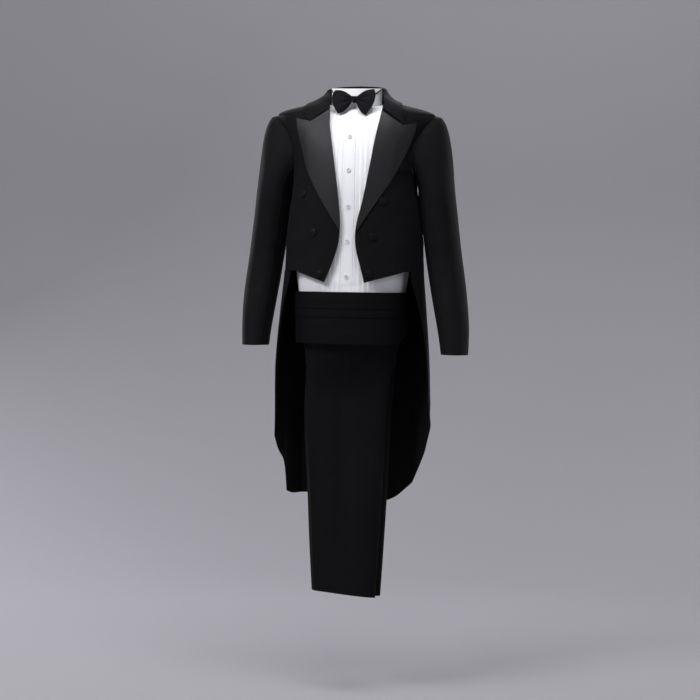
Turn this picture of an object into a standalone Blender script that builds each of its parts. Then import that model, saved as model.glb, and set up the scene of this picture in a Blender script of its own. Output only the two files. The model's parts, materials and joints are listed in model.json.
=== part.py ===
"""Evening dress suit with a tailcoat, hollow and in its worn pose: tailcoat, pleated
shirt, bow tie, waist sash and pressed trousers. Metres, +Z up, the front faces -Y and
the wearer's left is +X. The origin is at the base of the neck, where the wearer holds
the suit up.
"""

import math
from collections import namedtuple

import bmesh
import bpy
from mathutils import Matrix, Vector

# ------------------------------------------------------------------ cloth and seams
COAT_WALL = 0.0018
SATIN_WALL = 0.0014
SHIRT_WALL = 0.0011
TROUSER_WALL = 0.0016
SEAM_HALF = 0.0002        # half the gap between two pieces that meet at a seam
LAID_ON = 0.0015          # what lies on a curved panel clears its flat facets by this
PROBE = 0.0015            # step for measuring how a surface faces, in m
PROBE_TURN = 0.012        # the same round a body section, in radians
SEAM_SHARE = 1.5          # a sloping seam takes this many of the level seam's turns
SETTLING = 3              # passes in which a turn and its height settle on each other

Ring = namedtuple("Ring", "z half_width front back")
Edge = namedtuple("Edge", "z right left")
Arm = namedtuple("Arm", "z right_in right_out left_in left_out half_depth shift_y")
Hem = namedtuple("Hem", "angle right left")
Fold = namedtuple("Fold", "angle depth spread")
Turn = namedtuple("Turn", "turn z")
Leg = namedtuple("Leg", "z centre_x half_width half_depth")
Neck = namedtuple("Neck", "along turn z roll_in roll_up leaf_turn leaf_z")
Wing = namedtuple("Wing", "share right_out right_up left_out left_up")
LapelTop = namedtuple("LapelTop", "gorge_z notch_z notch_share peak_z")

# ------------------------------------------------------------------ the coat's body
FULLNESS = 2.25           # 2 is an ellipse, more is boxier
LEAN_START_Z = -0.25
LEAN_FULL_Z = -0.50
TILT_START_Z = -0.105
TILT_HEIGHT = 0.090
SHIRT_NECK_TILT = 0.020
COAT_RINGS = (
    Ring(-0.008, 0.0725, 0.050, 0.070),
    Ring(-0.014, 0.0830, 0.057, 0.077),
    Ring(-0.0208, 0.1040, 0.066, 0.084),
    Ring(-0.0300, 0.137, 0.073, 0.090),
    Ring(-0.0380, 0.170, 0.082, 0.097),
    Ring(-0.0458, 0.194, 0.089, 0.102),
    Ring(-0.053, 0.206, 0.095, 0.106),
    Ring(-0.072, 0.201, 0.105, 0.112),
    Ring(-0.100, 0.188, 0.118, 0.121),
    Ring(-0.150, 0.172, 0.131, 0.130),
    Ring(-0.200, 0.163, 0.136, 0.132),
    Ring(-0.240, 0.161, 0.137, 0.128),
    Ring(-0.300, 0.170, 0.134, 0.119),
    Ring(-0.387, 0.179, 0.129, 0.110),
    Ring(-0.460, 0.182, 0.127, 0.108),
    Ring(-0.550, 0.190, 0.126, 0.116),
    Ring(-0.700, 0.202, 0.126, 0.126),
    Ring(-0.850, 0.205, 0.126, 0.131),
    Ring(-1.090, 0.206, 0.126, 0.134),
)
WAIST_Z = -0.458
SHOULDER_TIP_Z = -0.053
COAT_NECK_Z = -0.010
COAT_LEVELS = (
    WAIST_Z, -0.430, -0.395, -0.360, -0.325, -0.290, -0.257, -0.225, -0.195,
    -0.168, -0.140, -0.112, -0.088, -0.070, -0.0597, SHOULDER_TIP_Z,
    -0.0480, -0.0395, -0.030, -0.021, -0.014, COAT_NECK_Z,
)
FRONT_COLUMNS = 7
SIDE_COLUMNS = 4
BACK_COLUMNS = 6

# The armhole is an ellipse laid on the body: heights in m, turns in degrees
ARMHOLE_Z = -0.1425
ARMHOLE_HALF_HEIGHT = 0.0895
ARMHOLE_HALF_TURN = 27.0
FRONT_SEAM = 68.0         # the seam of front and side body
BACK_SEAM = 112.0         # the seam of side body and back, at the armhole
BACK_SEAM_WAIST = 155.0
BACK_SEAM_HEM = 151.0
SEAM_TOP_Z = -0.195       # where both seams run into the armhole

# Where the coat's front edge and the lapel's roll line lie across the chest
FRONT_EDGE = (
    Edge(-0.008, -0.0610, 0.0700),
    Edge(-0.018, -0.0612, 0.0755),
    Edge(-0.030, -0.0605, 0.0785),
    Edge(-0.060, -0.0560, 0.0750),
    Edge(-0.086, -0.0540, 0.0704),
    Edge(-0.125, -0.0474, 0.0640),
    Edge(-0.200, -0.0359, 0.0519),
    Edge(-0.280, -0.0249, 0.0366),
    Edge(-0.346, -0.0204, 0.0209),
    Edge(-0.385, -0.0238, 0.0177),
    Edge(-0.424, -0.0351, 0.0274),
    Edge(-0.489, -0.0611, 0.0427),
)
FRONT_POINT_Z = -0.488
WAIST_EDGE_X = 0.132      # from the point the waist edge rises to here, then runs level
WAIST_EDGE_BEND = 0.9
EDGE_ROWS = 4             # rows above the waist edge that share its slant
EDGE_FADE = 1.5

# ------------------------------------------------------------------ the tails
TAIL_FRONT = 58.0         # where a tail's front edge leaves the waist seam
VENT_LAP = 7.0            # the left tail laps over the right one by this turn
VENT_STEP = 0.0036
LAP_RATE = 5.0            # the lap opens below the waist at this rate down the tail
LAP_START = 0.35
LAP_TURN = 168.0          # behind this turn the upper tail steps out over the lower
LAP_BLEND = 6.0
TAIL_SEAM_TURN = 2.0      # the tail's seam takes this many of the level seam's turns
TAIL_HEIGHT = 0.6
TAIL_ROWS = 11
SKIRT_TURNS = (79.0, 90.0, 101.0, 109.0, 115.0, 118.0, 128.0, 141.0)
TAIL_HEM = (
    Hem(58.0, -0.478, -0.478),
    Hem(66.0, -0.545, -0.545),
    Hem(74.0, -0.640, -0.640),
    Hem(82.0, -0.745, -0.738),
    Hem(90.0, -0.820, -0.800),
    Hem(98.0, -0.878, -0.838),
    Hem(106.0, -0.925, -0.864),
    Hem(111.0, -0.950, -0.886),
    Hem(114.0, -0.966, -0.908),
    Hem(116.6, -1.040, -0.930),
    Hem(124.0, -1.047, -0.972),
    Hem(133.0, -1.047, -1.000),
    Hem(142.0, -1.046, -1.024),
    Hem(152.0, -1.049, -1.052),
    Hem(162.0, -1.052, -1.066),
    Hem(190.0, -1.058, -1.074),
)
TAIL_FOLDS_LEFT = (
    Fold(70.0, 0.006, 6.0), Fold(88.0, -0.006, 7.0), Fold(106.0, 0.004, 7.0),
    Fold(124.0, -0.008, 7.0), Fold(142.0, 0.010, 6.0), Fold(166.0, -0.006, 8.0),
)
TAIL_FOLDS_RIGHT = (
    Fold(68.0, 0.007, 6.0), Fold(84.0, -0.006, 6.0), Fold(101.0, 0.008, 8.0),
    Fold(120.0, -0.009, 7.0), Fold(138.0, 0.009, 6.0), Fold(162.0, -0.007, 8.0),
)
FOLDS_START_Z = -0.50
FOLDS_FULL_Z = -0.90

# ------------------------------------------------------------------ the sleeves
SLEEVE_TOP_Z = -0.262     # the first level ring, below the armhole
ARMS = (
    Arm(-0.262, -0.1668, -0.2600, 0.1664, 0.2610, 0.0685, 0.004),
    Arm(-0.330, -0.1755, -0.2672, 0.1750, 0.2690, 0.0665, 0.008),
    Arm(-0.403, -0.1850, -0.2756, 0.1840, 0.2775, 0.062, 0.008),
    Arm(-0.470, -0.1935, -0.2835, 0.1950, 0.2880, 0.057, 0.002),
    Arm(-0.540, -0.2035, -0.2888, 0.2080, 0.2975, 0.055, -0.010),
    Arm(-0.605, -0.2130, -0.2880, 0.2220, 0.3030, 0.053, -0.022),
    Arm(-0.668, -0.2190, -0.2845, 0.2330, 0.3025, 0.052, -0.034),
)
CUFF_RIGHT_Z = -0.652
CUFF_LEFT_Z = -0.668
SLEEVE_LEVELS = (-0.310, -0.370, -0.430, -0.490, -0.550, -0.610)
SLEEVE_BEND = 0.92        # a little below 1, the sleeve's section is fuller than an oval
CAP_SHARES = (0.0, 0.13, 0.30, 0.52, 0.77, 1.0)
CAP_PROBE = 0.02
# How the cap leaves the armhole and comes into the sleeve, at its middle and at its top
CAP_LEAVES = Vector((0.075, -0.012, -0.020))
CAP_LEAVES_TOP = Vector((0.065, 0.0, 0.024))
CAP_ARRIVES = Vector((0.015, 0.0, -0.117))
CAP_ARRIVES_TOP = Vector((0.015, 0.0, -0.075))
SLEEVE_GAP = 0.012        # share by which the sleeve's start is drawn into the armhole
HIND_SEAM_STOP = 148      # the sleeve's two seams, in degrees from its top line
FORE_SEAM_STOP = 125
STOP_PROBE = 1.5
STOP_GAP = 0.35          # half the seam gap between the two sleeve pieces, in degrees

# ------------------------------------------------------------------ lapels and collar
LAPEL_BOTTOM_Z = -0.352
LAPEL_ROWS = 14
LAPEL_OUTER = (
    Edge(-0.068, -0.1435, 0.1600),
    Edge(-0.078, -0.1415, 0.1630),
    Edge(-0.091, -0.1400, 0.1615),
    Edge(-0.135, -0.1295, 0.1475),
    Edge(-0.187, -0.1140, 0.1255),
    Edge(-0.229, -0.0959, 0.1040),
    Edge(-0.281, -0.0680, 0.0720),
    Edge(-0.325, -0.0404, 0.0430),
    Edge(-0.353, -0.0235, 0.0250),
)
# The collar seam at the roll line, the notch, how far out it lies, and the peak
LAPEL_TOPS = {
    "right": LapelTop(-0.046, -0.0775, 0.57, -0.0680),
    "left": LapelTop(-0.049, -0.0850, 0.66, -0.0790),
}
COLLAR = (
    Neck(0.0, 20.0, -0.0460, 0.0000, 0.0000, 36.0, -0.0770),
    Neck(1.0, 31.0, -0.0300, 0.0000, 0.0020, 37.0, -0.0560),
    Neck(2.0, 47.0, -0.0180, 0.0005, 0.0070, 43.0, -0.0400),
    Neck(3.0, 66.0, -0.0110, 0.0015, 0.0130, 62.0, -0.0300),
    Neck(4.0, 90.0, -0.0110, 0.0030, 0.0205, 90.0, -0.0240),
    Neck(5.0, 113.0, -0.0110, 0.0040, 0.0275, 113.0, -0.0250),
    Neck(6.0, 135.0, -0.0110, 0.0045, 0.0330, 135.0, -0.0290),
    Neck(7.0, 158.0, -0.0110, 0.0045, 0.0365, 158.0, -0.0330),
    Neck(8.0, 180.0, -0.0110, 0.0045, 0.0380, 180.0, -0.0340),
)
COLLAR_STATIONS = (0.0, 0.5, 1.0, 1.5, 2.0, 2.5, 3.0, 3.5, 4.0, 4.6, 5.3, 6.0, 6.7, 7.4)
COLLAR_SHARES = (0.0, 0.1, 0.28, 0.52, 0.76, 1.0)
COLLAR_LIFT = 0.0030
COLLAR_BEND = 1.7         # how quickly the leaf falls away from the roll
COLLAR_PROBE = 0.04
COLLAR_PROBE_ALONG = 0.1
LEAF_NOTCH_REACH = 1.9
STAND_FOOT_GAP = 0.0006
STAND_TOP_GAP = Vector((0.0012, 0.0, 0.0010))
NECK_STATION = 2.5        # behind this the collar stands up from the neck seam

WELT_HEIGHT = 0.021
WELT_Z = -0.193
WELT_OUTER_X = 0.1500     # the welt shows from the lapel's edge out to here
WELT_RISE = 0.0040

# Front buttons: across and height on each front, and the two at the back waist
Button = namedtuple("Button", "across z")
BUTTON_WIDTH = 0.021
BUTTON_THICK = 0.0045
RIGHT_BUTTONS = (Button(-0.118, -0.262), Button(-0.090, -0.360), Button(-0.073, -0.466))
LEFT_BUTTONS = (Button(0.086, -0.280), Button(0.063, -0.371), Button(0.055, -0.464))
BACK_BUTTON_Z = -0.448
BACK_BUTTON_TURN = 157.0

# ------------------------------------------------------------------ the shirt
SHIRT_RINGS = (
    Ring(-0.0155, 0.0648, 0.0572, 0.0608),
    Ring(-0.0215, 0.0840, 0.0630, 0.0690),
    Ring(-0.0303, 0.1170, 0.0690, 0.0800),
    Ring(-0.0398, 0.1500, 0.0770, 0.0885),
    Ring(-0.0495, 0.1800, 0.0842, 0.0968),
    Ring(-0.0612, 0.1963, 0.0912, 0.1020),
    Ring(-0.075, 0.1930, 0.0990, 0.1070),
    Ring(-0.100, 0.1810, 0.1110, 0.1168),
    Ring(-0.150, 0.1650, 0.1240, 0.1264),
    Ring(-0.200, 0.1560, 0.1290, 0.1290),
    Ring(-0.240, 0.1540, 0.1290, 0.1240),
    Ring(-0.300, 0.1560, 0.1250, 0.1130),
    Ring(-0.387, 0.1530, 0.1170, 0.1030),
    Ring(-0.460, 0.1480, 0.1120, 0.1010),
    Ring(-0.500, 0.1425, 0.1095, 0.1005),
    Ring(-0.520, 0.1405, 0.1086, 0.0996),
    Ring(-0.560, 0.1405, 0.1086, 0.0996),
)
SHIRT_LEVELS = (
    -0.553, -0.5195, -0.5175, -0.500, -0.473, -0.428, -0.383, -0.339, -0.295,
    -0.249, -0.203, -0.149, -0.118, -0.090, -0.070, -0.0625,
    -0.0496, -0.0380, -0.0270, -0.0160,
)
SHIRT_ARMHOLE_Z = -0.1512
SHIRT_SHOULDER_Z = -0.0625
SHIRT_SEAM = 90.0
SHIRT_BACK_COLUMNS = 10
PLACKET_HALF = 0.0150
PLACKET_RAISE = 0.0011
PLACKET_FIT = 0.98
PLACKET_CLEAR = 0.0005
PLEATS = 5
PLEAT_PITCH = 0.0130
PLEAT_DEPTH = 0.0011
PLEAT_EDGE = 0.0016
PLEATS_TOP_Z = -0.035
TUCKED_Z = -0.5190         # below this the shirt is inside the waistband, unpleated
PLEATS_FULL_HALF_WIDTH = 0.125   # above this the pleats run together towards the neck
STUD_WIDTH = 0.0105
STUD_THICK = 0.0030
STUD_CLEAR = 0.0002
STUDS_Z = (-0.118, -0.203, -0.295, -0.383, -0.473)
COLLAR_HEIGHT = Ring(0.0, 0.0655, 0.0580, 0.0615)
STAND_TOP_FRONT_Z = 0.0110
STAND_TOP_BACK_Z = 0.0230
STAND_BOTTOM_Z = -0.0154
STAND_WALL = 0.0016

# ------------------------------------------------------------------ the bow tie
KNOT = Vector((0.0030, -0.0680, -0.0180))
KNOT_SIZE = Vector((0.0096, 0.0150, 0.0170))
KNOT_BEVEL = 0.0030
WING_EDGE = (
    Wing(0.00, 0.0405, -0.0375, 0.0325, -0.0420),
    Wing(0.20, 0.0475, -0.0255, 0.0400, -0.0290),
    Wing(0.42, 0.0555, -0.0110, 0.0480, -0.0165),
    Wing(0.62, 0.0575, 0.0020, 0.0530, -0.0010),
    Wing(0.82, 0.0560, 0.0140, 0.0545, 0.0130),
    Wing(1.00, 0.0515, 0.0240, 0.0500, 0.0275),
)
WING_START = 0.0054
WING_FORWARD = 0.0040
WING_ROOT_HALF = 0.0070
WING_SWELL_TOP = 0.0056   # the edges swell out between the knot and the tips
WING_SWELL_LOW = 0.0082
WING_WALL = 0.0012
WING_PUFF = 0.0066
WING_PUFF_EDGE = 0.35     # the share of the puff that is left at the outer edge
WING_LEAN = 0.36          # the bow follows the chest, forward as it goes down
BAND_HEIGHT = 0.0034
BAND_WALL = 0.0010
BAND_Z = -0.0100
BAND_RISE = 0.0235        # the narrow band rises to the collar's top edge at the sides
BAND_RISE_END = 0.45
BAND_CLEAR = 0.0009

# ------------------------------------------------------------------ sash and trousers
SASH_RINGS = (
    Ring(-0.500, 0.1441, 0.1119, 0.1029),
    Ring(-0.580, 0.1441, 0.1119, 0.1029),
    Ring(-0.650, 0.1424, 0.1104, 0.1014),
)
WAIST_SHIFT_X = -0.0050
SASH_TOP_Z = -0.5120
SASH_LOWER_EDGE = (
    Turn(-118.0, -0.6300),
    Turn(-85.0, -0.6440),
    Turn(50.0, -0.6450),
    Turn(72.0, -0.6350),
    Turn(92.0, -0.6080),
    Turn(118.0, -0.6000),
)
SASH_FRONT_TURN = 118.0   # the pleated part reaches this far round to each side
SASH_PLEATS = (-0.5555, -0.5780)
SASH_STEP = 0.0016
SASH_COLUMNS = 18
SASH_WALL = 0.0014
STRAP_TOP_Z = -0.5450
STRAP_BOTTOM_Z = -0.5950

WAISTBAND_TOP_Z = -0.5200
WAISTBAND_BOTTOM_Z = -0.5550
SEAT_RINGS = (
    Ring(-0.500, 0.1430, 0.1110, 0.1020),
    Ring(-0.555, 0.1430, 0.1110, 0.1020),
    Ring(-0.600, 0.1370, 0.1050, 0.0980),
    Ring(-0.650, 0.1240, 0.0900, 0.0870),
    Ring(-0.700, 0.1150, 0.0690, 0.0690),
    Ring(-0.750, 0.1120, 0.0540, 0.0550),
    Ring(-0.810, 0.1100, 0.0430, 0.0440),
    Ring(-1.350, 0.1100, 0.0430, 0.0440),
)
LEGS = (
    Leg(-0.500, -0.0050, 0.1150, 0.0205),
    Leg(-0.700, -0.0100, 0.1120, 0.0205),
    Leg(-0.790, -0.0135, 0.1085, 0.0205),
    Leg(-0.880, -0.0150, 0.1055, 0.0200),
    Leg(-0.985, -0.0131, 0.1000, 0.0190),
    Leg(-1.170, -0.0128, 0.0909, 0.0176),
    Leg(-1.310, -0.0126, 0.0825, 0.0162),
)
CREASE = 1.55             # below 2 the leg's ends draw out to a pressed crease
LEG_BOXINESS = 3.0
LEG_GAP = 0.0040
LEG_GAP_FADE = 0.12       # the gap between the legs closes above the fork over this
FORK_TOP_Z = -0.675
FORK_LOW_Z = -0.810
FORK_PROBES = 12          # places across a panel at which the fork's width is read
BACK_LEG_SHIFT_X = 0.0080
HEM_FRONT_Z = -1.2860     # the hem slants down from the front crease to the back one
HEM_BACK_Z = -1.3015
HEM_FRONT_X = -0.096
HEM_ACROSS = 0.172
HEM_SLANT_Z = -1.150      # from here down the panels take up the hem's slant
TROUSER_LEVELS = (
    -0.5553, -0.605, -0.645, -0.675, -0.698, -0.720, -0.742, -0.765, -0.788, -0.811,
    -0.860, -0.930, -1.000, -1.080, -1.160, -1.230, -1.294,
)
TROUSER_COLUMNS = 8
PANEL_GAP = 0.0012        # share of a panel's width left free at each seam
PANEL_PROBE = 0.02
SHIN_Z = -1.100           # below this the folds are a little flatter
SHIN_HEIGHT = 0.20
SHIN_FLATTER = 0.4
LEG_FOLDS = (
    Fold(0.20, 0.0035, 0.09), Fold(0.46, -0.0040, 0.08), Fold(0.70, 0.0030, 0.10),
)

BLACK_CLOTH = ((0.012, 0.012, 0.014), 0.85)
BLACK_SATIN = ((0.016, 0.016, 0.020), 0.35)
WHITE_CLOTH = ((0.82, 0.83, 0.86), 0.80)
BUTTON_SATIN = ((0.020, 0.020, 0.023), 0.45)
STUD_WHITE = ((0.72, 0.72, 0.75), 0.30)


# ------------------------------------------------------------------ small tools
class Curve:
    """A smooth curve through the rows of a table, that never overshoots them."""

    def __init__(self, rows, column, key="z"):
        pairs = sorted((getattr(row, key), getattr(row, column)) for row in rows)
        self.at = [pair[0] for pair in pairs]
        self.value = [pair[1] for pair in pairs]
        steps = [
            (self.value[i + 1] - self.value[i]) / (self.at[i + 1] - self.at[i])
            for i in range(len(pairs) - 1)
        ]
        self.slope = [steps[0]]
        for before, after in zip(steps, steps[1:]):
            turning = before * after <= 0
            self.slope.append(0.0 if turning else 2 * before * after / (before + after))
        self.slope.append(steps[-1])

    def __call__(self, at):
        at = min(max(at, self.at[0]), self.at[-1])
        i = 0
        while i < len(self.at) - 2 and at > self.at[i + 1]:
            i += 1
        width = self.at[i + 1] - self.at[i]
        t = (at - self.at[i]) / width
        return (
            (2 * t**3 - 3 * t**2 + 1) * self.value[i]
            + (t**3 - 2 * t**2 + t) * width * self.slope[i]
            + (3 * t**2 - 2 * t**3) * self.value[i + 1]
            + (t**3 - t**2) * width * self.slope[i + 1]
        )


def blend(a, b, share):
    return a + (b - a) * share


def ease(share):
    """0 to 1 with a soft start and end."""
    share = min(max(share, 0.0), 1.0)
    return share * share * (3 - 2 * share)


def signed_power(value, power):
    return math.copysign(abs(value) ** power, value)


def steps(count):
    """Shares from 0 to 1, count of them beyond the first."""
    return [i / count for i in range(count + 1)]


def paint(name, finish):
    """One material of the given colour and roughness."""
    colour, roughness = finish
    material = bpy.data.materials.new(name)
    material.use_nodes = True
    shader = material.node_tree.nodes["Principled BSDF"]
    shader.inputs["Base Color"].default_value = (*colour, 1.0)
    shader.inputs["Roughness"].default_value = roughness
    shader.inputs["Metallic"].default_value = 0.0
    return material


def keep(name, mesh_maker, finish):
    """Give a filled bmesh its object, material and place in the suit's collection."""
    mesh = bpy.data.meshes.new(name)
    mesh_maker.normal_update()
    mesh_maker.to_mesh(mesh)
    mesh_maker.free()
    mesh.materials.append(paint(name, finish))
    mesh.shade_smooth()
    mesh.set_sharp_from_angle(angle=math.radians(40))
    made = bpy.data.objects.new(name, mesh)
    bpy.data.collections[SUIT].objects.link(made)
    return made


def cloth(name, grid, finish, outside, inside, closed=False):
    """A wall of cloth from rows of (point, normal): two skins and the rims between.

    outside and inside are how far each skin lies out along the normals. Each may be a
    number, or a function of (row, column). A closed grid joins its last column to its
    first.
    """
    def lift(amount, i, j):
        return amount(i, j) if callable(amount) else amount

    maker = bmesh.new()
    skins = []
    for amount in (outside, inside):
        skins.append([
            [maker.verts.new(p + n * lift(amount, i, j)) for j, (p, n) in enumerate(row)]
            for i, row in enumerate(grid)
        ])
    outer, inner = skins
    rows, columns = len(grid), len(grid[0])
    for i in range(rows - 1):
        for j in range(columns if closed else columns - 1):
            k = (j + 1) % columns
            maker.faces.new((outer[i][j], outer[i][k], outer[i + 1][k], outer[i + 1][j]))
            maker.faces.new((inner[i][j], inner[i + 1][j], inner[i + 1][k], inner[i][k]))
    for j in range(columns if closed else columns - 1):
        k = (j + 1) % columns
        maker.faces.new((outer[0][k], outer[0][j], inner[0][j], inner[0][k]))
        maker.faces.new((outer[-1][j], outer[-1][k], inner[-1][k], inner[-1][j]))
    if not closed:
        for i in range(rows - 1):
            maker.faces.new((outer[i][0], outer[i + 1][0], inner[i + 1][0], inner[i][0]))
            maker.faces.new((outer[i + 1][-1], outer[i][-1], inner[i][-1], inner[i + 1][-1]))
    return keep(name, faced_out(maker), finish)


def faced_out(maker):
    """Turn every face of a closed wall outwards."""
    bmesh.ops.recalc_face_normals(maker, faces=maker.faces[:])
    if maker.calc_volume(signed=True) < 0:
        bmesh.ops.reverse_faces(maker, faces=maker.faces[:])
    return maker


def facing(surface, u, v, du, dv, outward):
    """The normal of surface(u, v), on the side that outward points to."""
    along_u = surface(u + du, v) - surface(u - du, v)
    along_v = surface(u, v + dv) - surface(u, v - dv)
    normal = along_u.cross(along_v).normalized()
    return normal if normal.dot(outward) >= 0 else -normal


# ------------------------------------------------------------------ body sections
class Body:
    """The skin of a worn garment: level ovals up the body, read at any turn and height.

    The turn is in degrees from the middle of the front, towards the wearer's left.
    """

    def __init__(self, rings, shift_x=0.0, folds=None, neck_tilt=0.0):
        self.half_width = Curve(rings, "half_width")
        self.front = Curve(rings, "front")
        self.back = Curve(rings, "back")
        self.lowest_shift = shift_x
        self.folds = folds
        self.neck_tilt = neck_tilt

    def drop(self, turn, z):
        """How far the neck end of the skin is let down towards the front."""
        forward = (1 + math.cos(math.radians(turn))) / 2
        return self.neck_tilt * forward * ease((z - TILT_START_Z) / TILT_HEIGHT)

    def shift(self, z):
        """The suit leans a little to one side below the chest."""
        return self.lowest_shift * ease((LEAN_START_Z - z) / (LEAN_START_Z - LEAN_FULL_Z))

    def fold(self, turn, z):
        """How far the cloth swings out or in at the hanging folds."""
        if not self.folds:
            return 0.0
        right, left = self.folds
        turn = (turn + 180.0) % 360.0 - 180.0
        grown = ease((FOLDS_START_Z - z) / (FOLDS_START_Z - FOLDS_FULL_Z))
        side = left if turn > 0 else right
        return grown * sum(
            fold.depth * math.exp(-(((abs(turn) - fold.angle) / fold.spread) ** 2))
            for fold in side
        )

    def __call__(self, turn, z):
        angle = math.radians(turn)
        forward = math.cos(angle) > 0
        depth = self.front(z) if forward else self.back(z)
        x = self.half_width(z) * signed_power(math.sin(angle), 2 / FULLNESS)
        y = -depth * signed_power(math.cos(angle), 2 / FULLNESS)
        out = self.fold(turn, z)
        return Vector((
            x + self.shift(z) + out * math.sin(angle), y - out * math.cos(angle),
            z - self.drop(turn, z),
        ))

    def turn_at(self, across, z):
        """The turn on the front at which the skin passes the given place across."""
        place = across - self.shift(z)
        share = min(abs(place) / self.half_width(z), 0.999)
        return math.copysign(math.degrees(math.asin(share ** (FULLNESS / 2))), place)

    def normal(self, turn, z):
        angle = math.radians(turn)
        outward = Vector((math.sin(angle), -math.cos(angle), 0.0))
        return facing(self, turn, z, math.degrees(PROBE_TURN), PROBE, outward)

    def spot(self, turn, z):
        """A point of the skin and its normal."""
        return self(turn, z), self.normal(turn, z)

    def seam_turn(self, z):
        """The turn that half a seam gap takes at this height."""
        return math.degrees(SEAM_HALF / self.half_width(z))


coat = Body(COAT_RINGS, folds=(TAIL_FOLDS_RIGHT, TAIL_FOLDS_LEFT))
shirt = Body(SHIRT_RINGS, WAIST_SHIFT_X, neck_tilt=SHIRT_NECK_TILT)
sash = Body(SASH_RINGS, WAIST_SHIFT_X)
seat = Body(SEAT_RINGS, WAIST_SHIFT_X)

SIDES = (("R", -1, "right"), ("L", 1, "left"))


def armhole_turn(z, centre_z=ARMHOLE_Z):
    """Half the turn that the armhole takes at a height, 0 above and below it."""
    share = (z - centre_z) / ARMHOLE_HALF_HEIGHT
    return ARMHOLE_HALF_TURN * math.sqrt(max(0.0, 1 - share * share))


def back_seam_turn(z):
    """The seam from the back of the armhole to the waist, and on down the tail."""
    if z >= WAIST_Z:
        share = ease((SEAM_TOP_Z - z) / (SEAM_TOP_Z - WAIST_Z))
        return blend(BACK_SEAM, BACK_SEAM_WAIST, share)
    return blend(BACK_SEAM_WAIST, BACK_SEAM_HEM, ease((WAIST_Z - z) / TAIL_HEIGHT))


# ------------------------------------------------------------------ the coat's body
def coat_front(side, sign, column):
    """A front: from the roll line and cutaway edge to side seam, armhole and shoulder."""
    edge = Curve(FRONT_EDGE, column)
    corner_x = abs(edge(FRONT_POINT_Z))
    side_x = coat(FRONT_SEAM, WAIST_Z).x
    grid = []
    for k, level in enumerate(COAT_LEVELS):
        row = []
        fade = max(0.0, 1 - k / EDGE_ROWS) ** EDGE_FADE
        for share in steps(FRONT_COLUMNS):
            across = blend(corner_x, side_x, share)
            reach = min((across - corner_x) / (WAIST_EDGE_X - corner_x), 1.0)
            edge_z = blend(FRONT_POINT_Z, WAIST_Z, reach**WAIST_EDGE_BEND)
            z = level + (edge_z - WAIST_Z) * fade
            inner = abs(coat.turn_at(edge(z), z))
            if level <= SEAM_TOP_Z:
                outer = FRONT_SEAM
            else:
                outer = 90.0 - armhole_turn(min(level, SHOULDER_TIP_Z))
            outer -= coat.seam_turn(z) * SEAM_SHARE
            row.append(coat.spot(sign * blend(inner, outer, share), z))
        grid.append(row)
    cloth(f"coat_front_{side}", grid, BLACK_CLOTH, 0.0, -COAT_WALL)


def side_levels():
    return [z for z in COAT_LEVELS if z <= SEAM_TOP_Z]


def coat_side(side, sign):
    """A side body: under the arm, from the armhole to the waist seam."""
    levels = side_levels()
    grid = []
    for k, level in enumerate(levels):
        row = []
        rise = (k / (len(levels) - 1)) ** 2
        for share in steps(SIDE_COLUMNS):
            gap = coat.seam_turn(level) * SEAM_SHARE
            start, end = FRONT_SEAM + gap, back_seam_turn(level) - gap
            turn = blend(start, end, share)
            dip = 0.0
            if 0 < share < 1:
                top_turn = blend(FRONT_SEAM, BACK_SEAM, share) - 90.0
                share_of_turn = top_turn / ARMHOLE_HALF_TURN
                low = ARMHOLE_Z - ARMHOLE_HALF_HEIGHT * math.sqrt(1 - share_of_turn**2)
                dip = (low - SEAM_TOP_Z) * rise
            bottom_gap = SEAM_HALF if k == 0 else 0.0
            row.append(coat.spot(sign * turn, level + dip + bottom_gap))
        grid.append(row)
    cloth(f"coat_side_{side}", grid, BLACK_CLOTH, 0.0, -COAT_WALL)


def coat_back(side, sign, column):
    """A back, in one length from the neck and shoulder to the hem of the tail."""
    hem = Curve(TAIL_HEM, column, "angle")
    lap = VENT_LAP if side == "L" else 0.0
    grid = []
    for share_down in reversed(steps(TAIL_ROWS)[1:]):
        row = []
        for share in steps(BACK_COLUMNS):
            z = WAIST_Z
            for _ in range(SETTLING):
                opened = lap * ease(share_down * LAP_RATE - LAP_START)
                start = 180.0 + opened - coat.seam_turn(z)
                turn = blend(start, back_seam_turn(z), share)
                z = blend(WAIST_Z, hem(turn), share_down)
            turn += coat.seam_turn(z) * (TAIL_SEAM_TURN if share == 1 else 0.0)
            point, normal = coat.spot(sign * turn, z)
            over = VENT_STEP * ease(share_down * TAIL_ROWS) if side == "L" else 0.0
            near_middle = ease((turn - LAP_TURN) / LAP_BLEND)
            row.append((point + normal * over * near_middle, normal))
        grid.append(row)
    for level in COAT_LEVELS:
        row = []
        for share in steps(BACK_COLUMNS):
            if level <= SEAM_TOP_Z:
                outer = back_seam_turn(level)
            else:
                outer = 90.0 + armhole_turn(min(level, SHOULDER_TIP_Z))
            outer += coat.seam_turn(level) * SEAM_SHARE
            start = 180.0 - coat.seam_turn(level)
            row.append(coat.spot(sign * blend(start, outer, share), level))
        grid.append(row)
    cloth(f"coat_back_{side}", grid, BLACK_CLOTH, 0.0, -COAT_WALL)


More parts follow.
